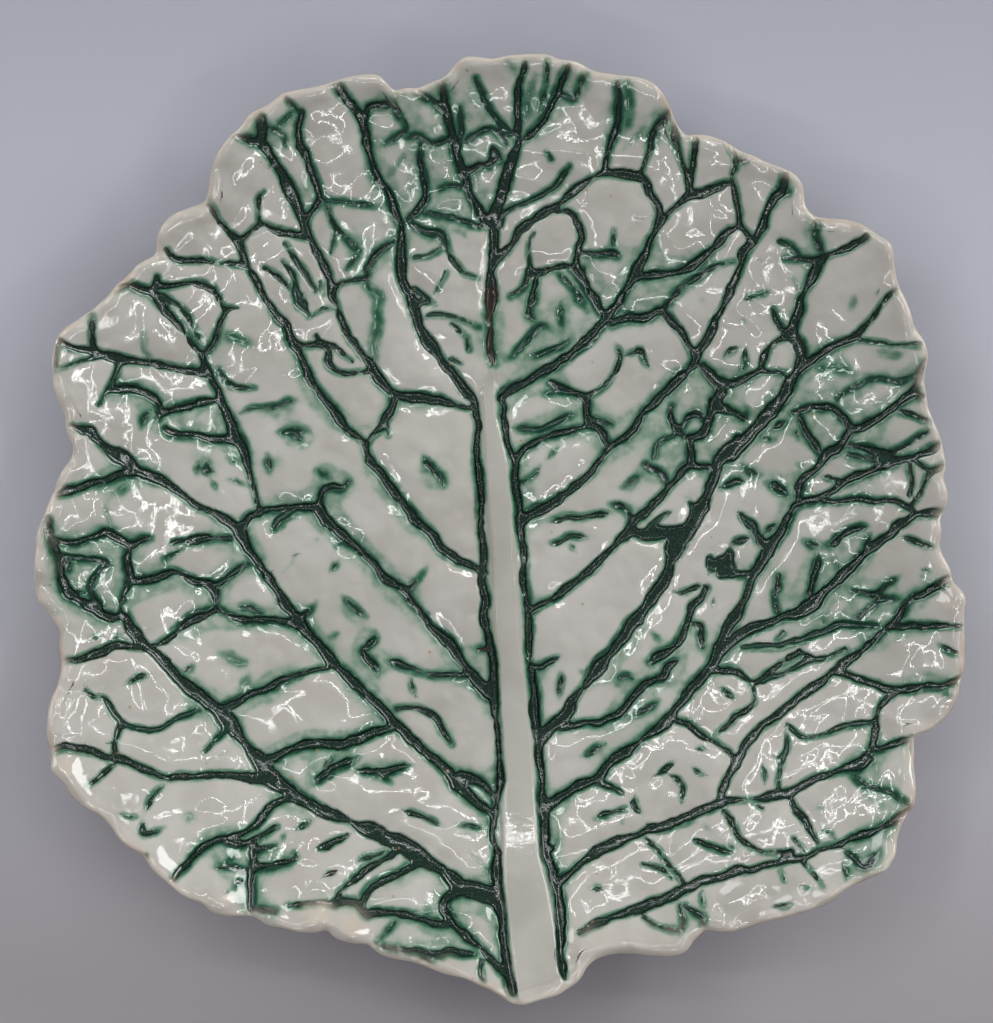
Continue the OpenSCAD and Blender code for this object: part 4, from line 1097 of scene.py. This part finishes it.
    def raise_face(self) -> None:
        """Adds the panels' crowns, the midrib and the ripples up to the whole height."""
        form = self.form
        self.spread_haze()
        plain = self.leaf.face(self.x, self.y)
        sink = self.blur(np.clip(self.groove / form.sink_depth, 0, 1), form.sink_spread)
        folds = [np.sqrt(self.noise(ripple) ** 2 + form.fold_round) for ripple in FOLDS]
        crimp = 1 + form.crimp * np.exp(-(self.inset / form.crimp_reach) ** 2)
        lumps = (self.noise(LUMPS) + form.fold * crimp * (folds[0] - folds[1])
                 + self.noise(GRAIN))
        crown = form.crown - form.fall * sink / (1 + form.fall_limit * sink)
        face = plain + crown + lumps - self.groove
        self.inside, share = self.midrib_share()
        rise = form.rib_rise * soft_step(0, form.rib_run, form.rib_start - self.y)
        rib = (plain + (rise + form.rib_proud) + form.rib_round * (1 - (2 * share - 1) ** 2)
               + self.noise(RIB))
        blend = soft_step(*form.rib_edge, self.inside)
        face = face * (1 - blend) + rib * blend
        cleaned = form.rib_clean * soft_step(0, form.rib_clean_width, self.inside)
        self.fields[Attribute.WASH] = self.fields[Attribute.WASH] * (1 - cleaned)
        self.height = self.blur(self.roll_rim(face), form.polish)
        rise, run = np.gradient(self.height, self.cell)
        size = np.sqrt(rise ** 2 + run ** 2 + 1)
        self.slopes = [-run / size, -rise / size, 1 / size]

    def roll_rim(self, face: np.ndarray) -> np.ndarray:
        """Shapes the bead, the lip and the lobes, and bares the clay along them.

        Args:
            face: the heights of the face.

        Returns:
            The heights with the rim in them.
        """
        form = self.form
        pinch = self.noise(PINCH) * np.exp(-(self.inset / form.pinch_reach) ** 2)
        bead = form.bead * np.exp(-((self.inset - form.bead_inset) / form.bead_width) ** 2) + pinch
        roll = np.clip(1 - self.inset / form.lip, 0, 1)
        face = face + (bead - form.lip_drop * (1 - np.sqrt(1 - roll ** 2)))
        rim = np.exp(-(np.maximum(self.inset, 0) / form.rim_glaze) ** 2)
        for line in LOBES.strip().splitlines():
            table, radius, rise, bare = line.split()
            (x, y), = self.leaf.place(table)
            swell = np.exp(-(np.hypot(self.x - x, self.y - y) / float(radius)) ** 3)
            face += float(rise) * swell * soft_step(*form.lobe_edge, self.inset)
            rim = np.maximum(rim, float(bare) * swell)
        self.fields[Attribute.RIM] = rim
        return face

    def lattice(self) -> np.ndarray:
        """Shares the cells of the face out between its pieces.

        Returns:
            For each cell of the coat's coarser lattice, the number of its piece: the veins'
            nodes first, then the midrib, then the four fields of panels, and -1 where the face
            ends.
        """
        owner = self.owner.copy()
        count = len(self.names)
        right_side = self.x > self.parting_slant * (self.parting_height - self.y)
        panels = count + 1 + right_side.astype(int) + 2 * (self.y < 0)
        owner = np.where(owner < 0, panels, owner)
        owner = np.where(self.inside > 0, count, owner)
        owner = np.where(self.inset < self.coat_inset, -1, owner)
        owner = owner[1::STRIDE, 1::STRIDE].copy()
        for _ in range(self.corner_passes):  # parts cells of a piece that meet only at a corner
            here, right = owner[:-1, :-1].copy(), owner[:-1, 1:].copy()
            below, across = owner[1:, :-1].copy(), owner[1:, 1:].copy()
            falling = (here == across) & (here != right) & (here != below)
            rising = (right == below) & (right != here) & (right != across)
            owner[1:, 1:] = np.where(falling, right, across)
            owner[1:, :-1] = np.where(rising, here, owner[1:, :-1])
        return owner


def put(name: str, data: bpy.types.ID) -> bpy.types.Object:
    """Adds an object to the scene.

    Args:
        name: its name.
        data: its mesh, lamp or camera.

    Returns:
        The object.
    """
    thing = bpy.data.objects.new(name, data)
    bpy.context.scene.collection.objects.link(thing)
    return thing


def from_bmesh(name: str, bm: bmesh.types.BMesh) -> bpy.types.Mesh:
    """Turns a finished bmesh into a mesh, and lets go of the bmesh.

    Args:
        name: the mesh's name.
        bm: the bmesh.

    Returns:
        The mesh.
    """
    mesh = bpy.data.meshes.new(name)
    bm.to_mesh(mesh)
    bm.free()
    return mesh


def places_of(mesh: bpy.types.Mesh) -> np.ndarray:
    """Reads the places of a mesh's points.

    Args:
        mesh: the mesh.

    Returns:
        The places, one to a row.
    """
    places = np.empty(len(mesh.vertices) * 3)
    mesh.vertices.foreach_get("co", places)
    return places.reshape(-1, 3)


def dress(piece: bpy.types.Object, relief: Relief, x: np.ndarray, y: np.ndarray,
          top: np.ndarray, normals: np.ndarray) -> None:
    """Gives a piece of the face its glaze values and its slopes.

    Args:
        piece: the piece, with its mesh in place.
        relief: the face that it is part of.
        x: the places of its points across the dish.
        y: the places of its points along the dish.
        top: which of its points lie on the glazed face.
        normals: the way that the other points face.
    """
    mesh = piece.data
    for key, values in relief.fields.items():
        data = relief.sample(values, x, y)
        if key is not Attribute.RIM:
            data = np.where(top, data, FAR if key is Attribute.ACROSS else 0.0)
        layer = mesh.attributes.new(key.value, "FLOAT", "POINT")
        layer.data.foreach_set("value", data.astype(np.float32))
    facing = np.column_stack([relief.sample(s, x, y) for s in relief.slopes])
    facing = np.where(top[:, None], facing, normals)
    facing /= np.linalg.norm(facing, axis=1, keepdims=True)
    mesh.shade_smooth()
    mesh.normals_split_custom_set_from_vertices(facing.astype(np.float32).tolist())


def finish(piece: bpy.types.Object, material: bpy.types.Material, slot: str,
           *nodes: str) -> None:
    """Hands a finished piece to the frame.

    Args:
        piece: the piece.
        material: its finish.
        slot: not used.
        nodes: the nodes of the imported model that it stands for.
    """
    piece.data.materials.append(material)
    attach(piece, "root")
    if nodes:
        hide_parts(*nodes)
    log.info("%s: %d faces", piece.name, len(piece.data.polygons))


@dataclass
class GlazedFace:
    """The glaze coat of the dish, shared out between the veins, the midrib and the panels."""

    relief: Relief
    thickness: float = 0.8  # of the coat

    def shell(self, name: str, mask: np.ndarray) -> bpy.types.Object:
        """Builds one piece of the coat as a closed shell.

        Args:
            name: the piece's name.
            mask: the cells of the lattice that it covers.

        Returns:
            The piece.
        """
        rows, columns = (np.flatnonzero(mask.any(axis=k)) for k in (1, 0))
        part = mask[rows[0]:rows[-1] + 1, columns[0]:columns[-1] + 1]
        bm = bmesh.new()
        bmesh.ops.create_grid(bm, x_segments=part.shape[1], y_segments=part.shape[0], size=0.5)
        faces = bm.faces[:]
        bmesh.ops.delete(bm, geom=[faces[k] for k in np.flatnonzero(~part.ravel())],
                         context="FACES")
        sheet = bm.verts[:]
        bmesh.ops.extrude_face_region(bm, geom=bm.faces[:], use_keep_orig=True)
        bmesh.ops.translate(bm, verts=sheet, vec=(0, 0, -0.1))  # only to tell it from the top
        bmesh.ops.recalc_face_normals(bm, faces=bm.faces[:])
        mesh = from_bmesh(name, bm)
        across, along, level = places_of(mesh).T  # of a grid that is still one unit wide and long
        i = STRIDE * (np.rint((across + 0.5) * part.shape[1]).astype(int) + columns[0])
        j = STRIDE * (np.rint((along + 0.5) * part.shape[0]).astype(int) + rows[0])
        top = level > (level.min() + level.max()) / 2
        x, y = self.relief.axis[i], self.relief.axis[j]
        z = self.relief.height[j, i] - np.where(top, 0, self.thickness)
        mesh.vertices.foreach_set("co", (np.column_stack([x, y, z]) / METRE).ravel())
        mesh.update()
        piece = put(name, mesh)
        dress(piece, self.relief, x, y, top, np.tile([0.0, 0.0, -1.0], (len(x), 1)))
        return piece

    def build(self, pale: bpy.types.Material, pooled: bpy.types.Material,
              rib: bpy.types.Material) -> None:
        """Builds every piece of the coat.

        Args:
            pale: the finish of the panels.
            pooled: the finish of the veins.
            rib: the finish of the midrib.
        """
        owner = self.relief.lattice()
        names = self.relief.names
        for number, name in enumerate(names):
            finish(self.shell(name + "_pool", owner == number), pooled, "pooled_glaze", name)
        finish(self.shell("midrib_strip", owner == len(names)), rib, "rib_glaze", "midrib")
        for number, side in enumerate(("upper_left", "upper_right", "lower_left", "lower_right")):
            finish(self.shell("panel_glaze_" + side, owner == len(names) + 1 + number), pale,
                   "pale_glaze", "leaf_body")


@dataclass
class PressedSlab:
    """The clay slab under the coat, with the rolled lip and the back of the dish.

    Its section is a row of rings, from the middle of the face out over the lip and in again to
    the middle of the back. Insets and drops are in millimetres from the rim and below the face.
    """

    leaf: Leaf
    rim: Rim
    relief: Relief
    columns: int = 1440  # points to a ring
    inner_shares: tuple[float, ...] = (0, 0.24, 0.44, 0.62, 0.78, 0.9)
    inner_drop: float = 4.2  # under the coat, which hides it
    lip_insets: tuple[float, ...] = (7.6, 6.2, 5.2, 4.2, 3.3, 2.5, 1.8, 1.2, 0.7, 0.3, 0)
    lip_sinks: tuple[float, ...] = (3.6, 0.04, 0.04, 0, 0, 0, 0, 0, 0, 0, 0)
    back_insets: tuple[float, ...] = (-0.3, 0, 0.9, 2.2, 4.0, 8.0)
    back_drops: tuple[float, ...] = (3.1, 4.2, 5.0, 5.6, 5.95, 6.0)
    back_shares: tuple[float, ...] = (0.9, 0.8, 0.68, 0.56, 0.42, 0.26, 0)
    glazed_gap: float = 0.2  # from the pressed face, within which a point belongs to it
    glazed_inset: float = 0.5

    def section(self) -> bmesh.types.BMesh:
        """Spins an upright line of points round the middle.

        Returns:
            A tube with one ring of points, at the height of its number, for each of the slab's.
        """
        count = sum(map(len, (self.inner_shares, self.lip_insets, self.back_insets,
                              self.back_shares)))
        bm = bmesh.new()
        point = bm.verts.new((1, 0, 0))
        for k in range(1, count):
            point = bmesh.ops.extrude_vert_indiv(bm, verts=[point])["verts"][0]
            point.co.z = k
        bmesh.ops.spin(bm, geom=bm.verts[:] + bm.edges[:], cent=(0, 0, 0), axis=(0, 0, 1),
                       angle=2 * math.pi, steps=self.columns, use_merge=True)
        return bm

    def build(self, material: bpy.types.Material) -> None:
        """Lays the rings of the section on the leaf.

        Args:
            material: the slab's finish.
        """
        bm = self.section()
        places = np.array([v.co[:] for v in bm.verts])
        here = np.rint(places[:, 2]).astype(int), np.arange(len(places))
        angle = np.arctan2(places[:, 1], places[:, 0])
        edge = self.rim.at(angle, self.rim.radii)
        radii = [(edge - self.lip_insets[0]) * share for share in self.inner_shares]
        radii += [edge - inset for inset in self.lip_insets + self.back_insets]
        radii += [(edge - self.back_insets[-1]) * share for share in self.back_shares]
        radius = np.array(radii)[here]
        x, y = radius * np.cos(angle), radius * np.sin(angle)
        plain = self.leaf.face(x, y)
        pressed = self.relief.sample(self.relief.height, x, y)
        back = plain - self.leaf.wall + self.relief.sample(self.relief.noise(BACK), x, y)
        heights = [plain - self.inner_drop] * len(self.inner_shares)
        heights += [pressed - sink for sink in self.lip_sinks]
        heights += [plain - drop for drop in self.back_drops]
        heights += [back] * len(self.back_shares)
        z = np.array(heights)[here]
        for vert, place in zip(bm.verts, np.column_stack([x, y, z]) / METRE):
            vert.co = place
        bmesh.ops.remove_doubles(bm, verts=bm.verts[:], dist=1e-6)
        bmesh.ops.recalc_face_normals(bm, faces=bm.faces[:])
        mesh = from_bmesh("leaf_slab", bm)
        piece = put("leaf_slab", mesh)
        mesh.shade_smooth()
        x, y, z = (places_of(mesh) * METRE).T
        normals = np.array([n.vector[:] for n in mesh.vertex_normals])
        gap = np.abs(z - self.relief.sample(self.relief.height, x, y))
        glazed = (gap < self.glazed_gap) & (self.rim.inset(x, y) > self.glazed_inset)
        dress(piece, self.relief, x, y, glazed, normals)
        finish(piece, material, "pale_glaze", "leaf_body")


def linear(colour: str) -> tuple[float, float, float, float]:
    """Turns a colour into linear light.

    Args:
        colour: the colour in sRGB, such as "#BCB6B0".

    Returns:
        Its red, green and blue in linear light, and an alpha of 1.
    """
    parts = [int(colour[k:k + 2], 16) / 255 for k in (1, 3, 5)]
    parts = [p / 12.92 if p <= 0.04045 else ((p + 0.055) / 1.055) ** 2.4 for p in parts]
    return (*parts, 1.0)


def add(tree: bpy.types.NodeTree, kind: str, settings: dict[str, object] | None = None,
        out: int | str = 0, **inputs: object) -> bpy.types.NodeSocket | None:
    """Adds a node to a material.

    Args:
        tree: the material's nodes.
        kind: the kind of node.
        settings: properties of the node itself, and "ramp", the stops of a colour ramp.
        out: the output that is wanted, by number or by name.
        inputs: a value, a hex colour or another node's output for each input, by name, or by
            number as i0.

    Returns:
        The output, or nothing for a node without one.
    """
    node = tree.nodes.new(kind)
    for name, value in (settings or {}).items():
        if name == "ramp":
            for k, (at, colour) in enumerate(value):
                stop = node.color_ramp.elements[k] if k < 2 else node.color_ramp.elements.new(at)
                stop.position, stop.color = at, linear(colour)
        else:
            setattr(node, name, value)
    for name, value in inputs.items():
        numbered = name[0] == "i" and name[1:].isdigit()
        socket = node.inputs[int(name[1:])] if numbered else node.inputs[name.replace("_", " ")]
        if isinstance(value, bpy.types.NodeSocket):
            tree.links.new(value, socket)
        else:
            socket.default_value = linear(value) if isinstance(value, str) else value
    return node.outputs[out] if len(node.outputs) else None


def unfinished(name: str) -> bpy.types.Material:
    """Starts a node material.

    Args:
        name: its name.

    Returns:
        The material, which has no nodes yet.
    """
    material = bpy.data.materials.new(name)
    material.use_nodes = True
    material.node_tree.nodes.clear()
    return material


SMOOTH = {"interpolation_type": "SMOOTHSTEP"}
COLOURS = {"data_type": "RGBA"}
PRODUCT = {"operation": "MULTIPLY", "use_clamp": True}
SUM = {"operation": "MULTIPLY_ADD"}


@dataclass(frozen=True)
class LeadGlaze:
    """Clear lead glaze over pale slip on pressed earthenware, with copper green run into it.

    A fired pooled glaze is glass: it mirrors lamps sharply, breaks from pale to green with its
    depth, goes black-green where it is deepest, and shows crawled grey freckles there.
    """

    name: str
    pale: str = "#B0ADA5"
    shade: str = "#A6A299"
    milk: str = "#BCB9B2"
    thin_green: str = "#9AAA9B"
    green: str = "#66806C"
    emerald: str = "#2F6046"
    deep: str = "#14392A"
    core: str = "#11261B"
    core_edge: str = "#07170F"
    freckle: str = "#2E4236"
    manganese: str = "#2E211A"
    cream: str = "#BAB0A2"
    blush: str = "#AA9683"
    ochre: str = "#94713F"
    roughness: float = 0.05
    dulled: float = 0.1  # roughness where the glaze is thickest
    broad_size: float = 26.0  # sizes of its patterns, in millimetres
    cloud_size: float = 7.0
    streak_size: float = 4.0
    grain_size: float = 1.4
    crawl_size: float = 0.9
    speck_size: float = 9.0
    peel_size: float = 2.4

    def material(self) -> bpy.types.Material:
        """Builds the finish as a node material.

        Returns:
            The material.
        """
        material = unfinished(self.name)
        tree = material.node_tree
        place = add(tree, "ShaderNodeTexCoord", out="Object")
        across, dark, wash, brown, rim = (
            add(tree, "ShaderNodeAttribute", {"attribute_name": key.value}, "Fac")
            for key in Attribute)
        # Pale glaze, warm where it is thin and milky where it is thick, in broad soft clouds
        broad = add(tree, "ShaderNodeTexNoise", Vector=place, Scale=METRE / self.broad_size)
        thick = add(tree, "ShaderNodeMapRange", SMOOTH, Value=broad, From_Min=0.35, From_Max=0.65)
        colour = add(tree, "ShaderNodeMix", COLOURS, 2, i0=thick, i6=self.shade, i7=self.pale)
        cloud = add(tree, "ShaderNodeTexNoise", Vector=place, Scale=METRE / self.cloud_size,
                    Detail=3.0)
        milky = add(tree, "ShaderNodeMapRange", SMOOTH, Value=cloud, From_Min=0.45,
                    From_Max=0.85, To_Max=0.5)
        colour = add(tree, "ShaderNodeMix", COLOURS, 2, i0=milky, i6=colour, i7=self.milk)
        # Green that bled out of the veins in streaks, paler the farther it ran
        streak = add(tree, "ShaderNodeTexNoise", Vector=place, Scale=METRE / self.streak_size,
                     Detail=3.0)
        streak = add(tree, "ShaderNodeMapRange", SMOOTH, Value=streak, From_Min=0.3,
                     From_Max=0.7, To_Min=0.7, To_Max=1.15)
        amount = add(tree, "ShaderNodeMath", PRODUCT, i0=wash, i1=streak)
        green = add(tree, "ShaderNodeValToRGB", {"ramp": (
            (0.0, self.thin_green), (0.85, self.deep), (0.35, self.green), (0.6, self.emerald),
        )}, Fac=amount)
        stained = add(tree, "ShaderNodeMapRange", SMOOTH, Value=amount, From_Min=0.02,
                      From_Max=0.35)
        colour = add(tree, "ShaderNodeMix", COLOURS, 2, i0=stained, i6=colour, i7=green)
        # The pool itself: black-green at its edges, freckled grey on its floor
        grain = add(tree, "ShaderNodeTexNoise", Vector=place, Scale=METRE / self.grain_size)
        ragged = add(tree, "ShaderNodeMath", SUM, i0=grain, i1=0.5, i2=across)
        crawl = add(tree, "ShaderNodeTexNoise", Vector=place, Scale=METRE / self.crawl_size,
                    Detail=3.0)
        freckled = add(tree, "ShaderNodeMapRange", SMOOTH, Value=crawl, From_Min=0.5,
                       From_Max=0.68, To_Max=0.8)
        floor = add(tree, "ShaderNodeMix", COLOURS, 2, i0=freckled, i6=self.core, i7=self.freckle)
        edge = add(tree, "ShaderNodeMapRange", SMOOTH, Value=ragged, From_Min=0.75, From_Max=1.1)
        floor = add(tree, "ShaderNodeMix", COLOURS, 2, i0=edge, i6=floor, i7=self.core_edge)
        shallow = add(tree, "ShaderNodeMapRange", SMOOTH, Value=dark, From_Min=0.95,
                      From_Max=0.55)
        floor = add(tree, "ShaderNodeMix", COLOURS, 2, i0=shallow, i6=floor, i7=self.deep)
        rusty = add(tree, "ShaderNodeMath", PRODUCT, i0=brown, i1=0.85)
        floor = add(tree, "ShaderNodeMix", COLOURS, 2, i0=rusty, i6=floor, i7=self.manganese)
        inside = add(tree, "ShaderNodeMapRange", SMOOTH, Value=ragged, From_Min=1.55,
                     From_Max=1.1)
        filled = add(tree, "ShaderNodeMapRange", SMOOTH, Value=dark, From_Max=0.55)
        pool = add(tree, "ShaderNodeMath", PRODUCT, i0=inside, i1=filled)
        colour = add(tree, "ShaderNodeMix", COLOURS, 2, i0=pool, i6=colour, i7=floor)
        # Cream and pink clay showing through at the lip, and specks of ochre
        wear = add(tree, "ShaderNodeMapRange", SMOOTH, Value=cloud, From_Min=0.3, From_Max=0.7,
                   To_Min=0.4, To_Max=1.1)
        worn = add(tree, "ShaderNodeMath", PRODUCT, i0=rim, i1=wear)
        pink = add(tree, "ShaderNodeMapRange", SMOOTH, Value=broad, From_Min=0.5, From_Max=0.75)
        bare = add(tree, "ShaderNodeMix", COLOURS, 2, i0=pink, i6=self.cream, i7=self.blush)
        colour = add(tree, "ShaderNodeMix", COLOURS, 2, i0=worn, i6=colour, i7=bare)
        spot = add(tree, "ShaderNodeTexVoronoi", out="Distance", Vector=place,
                   Scale=METRE / self.speck_size)
        chance = add(tree, "ShaderNodeTexVoronoi", out="Color", Vector=place,
                     Scale=METRE / self.speck_size)
        rare = add(tree, "ShaderNodeMapRange", SMOOTH, Value=chance, From_Min=0.62, From_Max=0.7)
        round_spot = add(tree, "ShaderNodeMapRange", SMOOTH, Value=spot, From_Min=0.09,
                         From_Max=0.04, To_Max=0.7)
        speck = add(tree, "ShaderNodeMath", PRODUCT, i0=round_spot, i1=rare)
        colour = add(tree, "ShaderNodeMix", COLOURS, 2, i0=speck, i6=colour, i7=self.ochre)
        # Orange peel in the glaze, 0.15 mm deep, and beads and bubbles in the pools
        ripple = add(tree, "ShaderNodeTexNoise", Vector=place, Scale=METRE / self.peel_size)
        peel = add(tree, "ShaderNodeBump", Strength=0.25, Distance=0.00015, Height=ripple)
        beading = add(tree, "ShaderNodeMapRange", SMOOTH, Value=pool, To_Min=0.06, To_Max=0.38)
        bubbled = add(tree, "ShaderNodeBump", Strength=beading, Distance=0.00012, Height=crawl,
                      Normal=peel)
        rough = add(tree, "ShaderNodeMapRange", SMOOTH, Value=cloud, From_Min=0.3,
                    From_Max=0.75, To_Min=self.roughness, To_Max=self.dulled)
        glass = add(tree, "ShaderNodeBsdfPrincipled", Base_Color=colour, Roughness=rough,
                    IOR=1.52, Normal=bubbled)
        add(tree, "ShaderNodeOutputMaterial", Surface=glass)
        return material


@dataclass(frozen=True)
class FootGlaze:
    """Thin cream glaze wiped from the tread of the foot, where the fired clay shows matt."""

    name: str
    cream: str = "#BDB1A1"
    milky: str = "#C6BDB0"
    clay: str = "#B79B83"
    sand: str = "#A98B72"
    wiped: tuple[float, float] = (0.6, 1.8)  # heights between which the glaze begins, in mm
    cloud_size: float = 8.0
    grit_size: float = 0.6

    def material(self) -> bpy.types.Material:
        """Builds the finish as a node material.

        Returns:
            The material.
        """
        material = unfinished(self.name)
        tree = material.node_tree
        place = add(tree, "ShaderNodeTexCoord", out="Object")
        height = add(tree, "ShaderNodeSeparateXYZ", out="Z", Vector=place)
        wiped = add(tree, "ShaderNodeMapRange", Value=height, From_Min=self.wiped[0] / METRE,
                    From_Max=self.wiped[1] / METRE, To_Min=1.0, To_Max=0.0)
        cloud = add(tree, "ShaderNodeTexNoise", Vector=place, Scale=METRE / self.cloud_size,
                    Detail=4.0)
        grit = add(tree, "ShaderNodeTexNoise", Vector=place, Scale=METRE / self.grit_size)
        glazed = add(tree, "ShaderNodeMix", COLOURS, 2, i0=cloud, i6=self.cream,
                     i7=self.milky)
        bare = add(tree, "ShaderNodeMix", COLOURS, 2, i0=grit, i6=self.clay, i7=self.sand)
        colour = add(tree, "ShaderNodeMix", COLOURS, 2, i0=wiped, i6=glazed, i7=bare)
        rough = add(tree, "ShaderNodeMapRange", Value=wiped, To_Min=0.25, To_Max=0.8)
        bump = add(tree, "ShaderNodeBump", Strength=0.3, Distance=0.0001, Height=grit)
        clay = add(tree, "ShaderNodeBsdfPrincipled", Base_Color=colour, Roughness=rough,
                   IOR=1.5, Normal=bump)
        add(tree, "ShaderNodeOutputMaterial", Surface=clay)
        return material


@dataclass(frozen=True)
class Studio:
    """A pale floor with painted light and shade, two soft lamps, six narrow ones and the camera.
    """

    frame_width: float = 0.3666  # of what the camera sees at the height of the face, in metres
    face_height: float = 0.035
    distance: float = 2.2
    middle: tuple[float, float] = (-0.0013, 0.0065)
    sensor: float = 36.0
    sight: float = 20.0
    floor_size: float = 8.0
    floor_fade: float = 0.2  # from the middle to where the floor has its first and last colour
    world: str = "#84858E"
    # the floor's colours at its near side, far side and middle: painted shade at both sides,
    # painted light in the middle
    floor_light_and_shade_stops: tuple[tuple[float, str], ...] = (
        (0.0, "#959092"), (1.0, "#9B9DA6"), (0.5, "#B6B6BD"),
    )
    lamps: tuple[tuple[str, tuple[float, float, float], float, tuple[float, float]], ...] = (
        ("soft_right", (3.2, 2.2, 1.6), 118.0, (2.8, 1.4)),
        ("soft_left", (-3.2, 2.0, 1.6), 62.0, (2.8, 1.4)),
        ("strip_far", (0.0, 0.68, 1.7), 3.4, (1.4, 0.025)),
        ("strip_left", (-0.75, 0.25, 1.6), 3.2, (1.3, 0.025)),
        ("strip_right", (0.9, 0.15, 1.5), 3.2, (1.3, 0.025)),
        ("strip_near", (-0.3, -0.75, 1.6), 3.0, (1.2, 0.025)),
        ("strip_corner", (-0.7, 0.9, 1.6), 2.4, (1.0, 0.025)),
        ("strip_front", (0.7, -0.6, 1.6), 3.0, (1.2, 0.025)),
    )

    def floor(self) -> None:
        """Lays the floor, whose colour fades from the far side to the near one: painted light
        across the middle and painted shade towards both sides.
        """
        bm = bmesh.new()
        bmesh.ops.create_grid(bm, x_segments=2, y_segments=2, size=self.floor_size)
        floor = put("floor", from_bmesh("floor", bm))
        material = unfinished("matt board with painted light and shade")
        tree = material.node_tree
        place = add(tree, "ShaderNodeTexCoord", out="Object")
        along = add(tree, "ShaderNodeSeparateXYZ", out="Y", Vector=place)
        share = add(tree, "ShaderNodeMapRange", Value=along, From_Min=-self.floor_fade,
                    From_Max=self.floor_fade)
        # the ramp paints light across the middle of the floor and shade towards its near and far
        # sides
        colour = add(tree, "ShaderNodeValToRGB", {"ramp": self.floor_light_and_shade_stops}, Fac=share)
        paint = add(tree, "ShaderNodeBsdfPrincipled", Base_Color=colour, Roughness=0.7)
        add(tree, "ShaderNodeOutputMaterial", Surface=paint)
        floor.data.materials.append(material)

    def light(self) -> None:
        """Hangs the lamps and sets the pale surround."""
        for name, place, power, (width, depth) in self.lamps:
            lamp = bpy.data.lights.new(name, "AREA")
            lamp.shape, lamp.size, lamp.size_y, lamp.energy = "RECTANGLE", width, depth, power
            holder = put(name, lamp)
            holder.location = place
            holder.rotation_euler = (-Vector(place)).to_track_quat("-Z", "Y").to_euler()
        world = bpy.data.worlds.new("pale room")
        world.use_nodes = True
        world.node_tree.nodes["Background"].inputs["Color"].default_value = linear(self.world)
        bpy.context.scene.world = world

    def camera(self) -> None:
        """Sets the camera square above the dish, as it was looked at."""
        camera = bpy.data.cameras.new("camera")
        camera.sensor_fit = "HORIZONTAL"
        camera.sensor_width = self.sensor
        camera.lens = camera.sensor_width * self.distance / self.frame_width
        camera.clip_end = self.sight
        holder = put("camera", camera)
        holder.location = (*self.middle, self.face_height + self.distance)
        bpy.context.scene.camera = holder
        bpy.context.scene.view_settings.view_transform = "Standard"

    def build(self) -> None:
        """Sets up the whole studio."""
        self.floor()
        self.light()
        self.camera()


def main() -> None:
    """Builds the dish and its studio in order."""
    logging.basicConfig(level=logging.INFO, format="%(message)s")
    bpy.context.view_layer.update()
    Studio().build()
    leaf = Leaf()
    rim = Rim(leaf)
    relief = Relief(leaf, rim)
    log.info("relief: %.1f to %.1f mm high", relief.height.min(), relief.height.max())
    pale = LeadGlaze("lead glaze over pale slip").material()
    pooled = LeadGlaze("lead glaze with copper green pooled in the veins").material()
    rib = LeadGlaze("lead glaze over the midrib", pale="#A6A49B", shade="#9D9A90",
                    milk="#AEACA4").material()
    PressedSlab(leaf, rim, relief).build(pale)
    GlazedFace(relief).build(pale, pooled, rib)
    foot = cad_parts["foot_ring"]
    foot.material_slots[0].material = FootGlaze("cream glaze wiped from the foot").material()
    log.info("foot_ring: kept, with its own finish")
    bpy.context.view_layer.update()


if __name__ == "__main__":
    main()
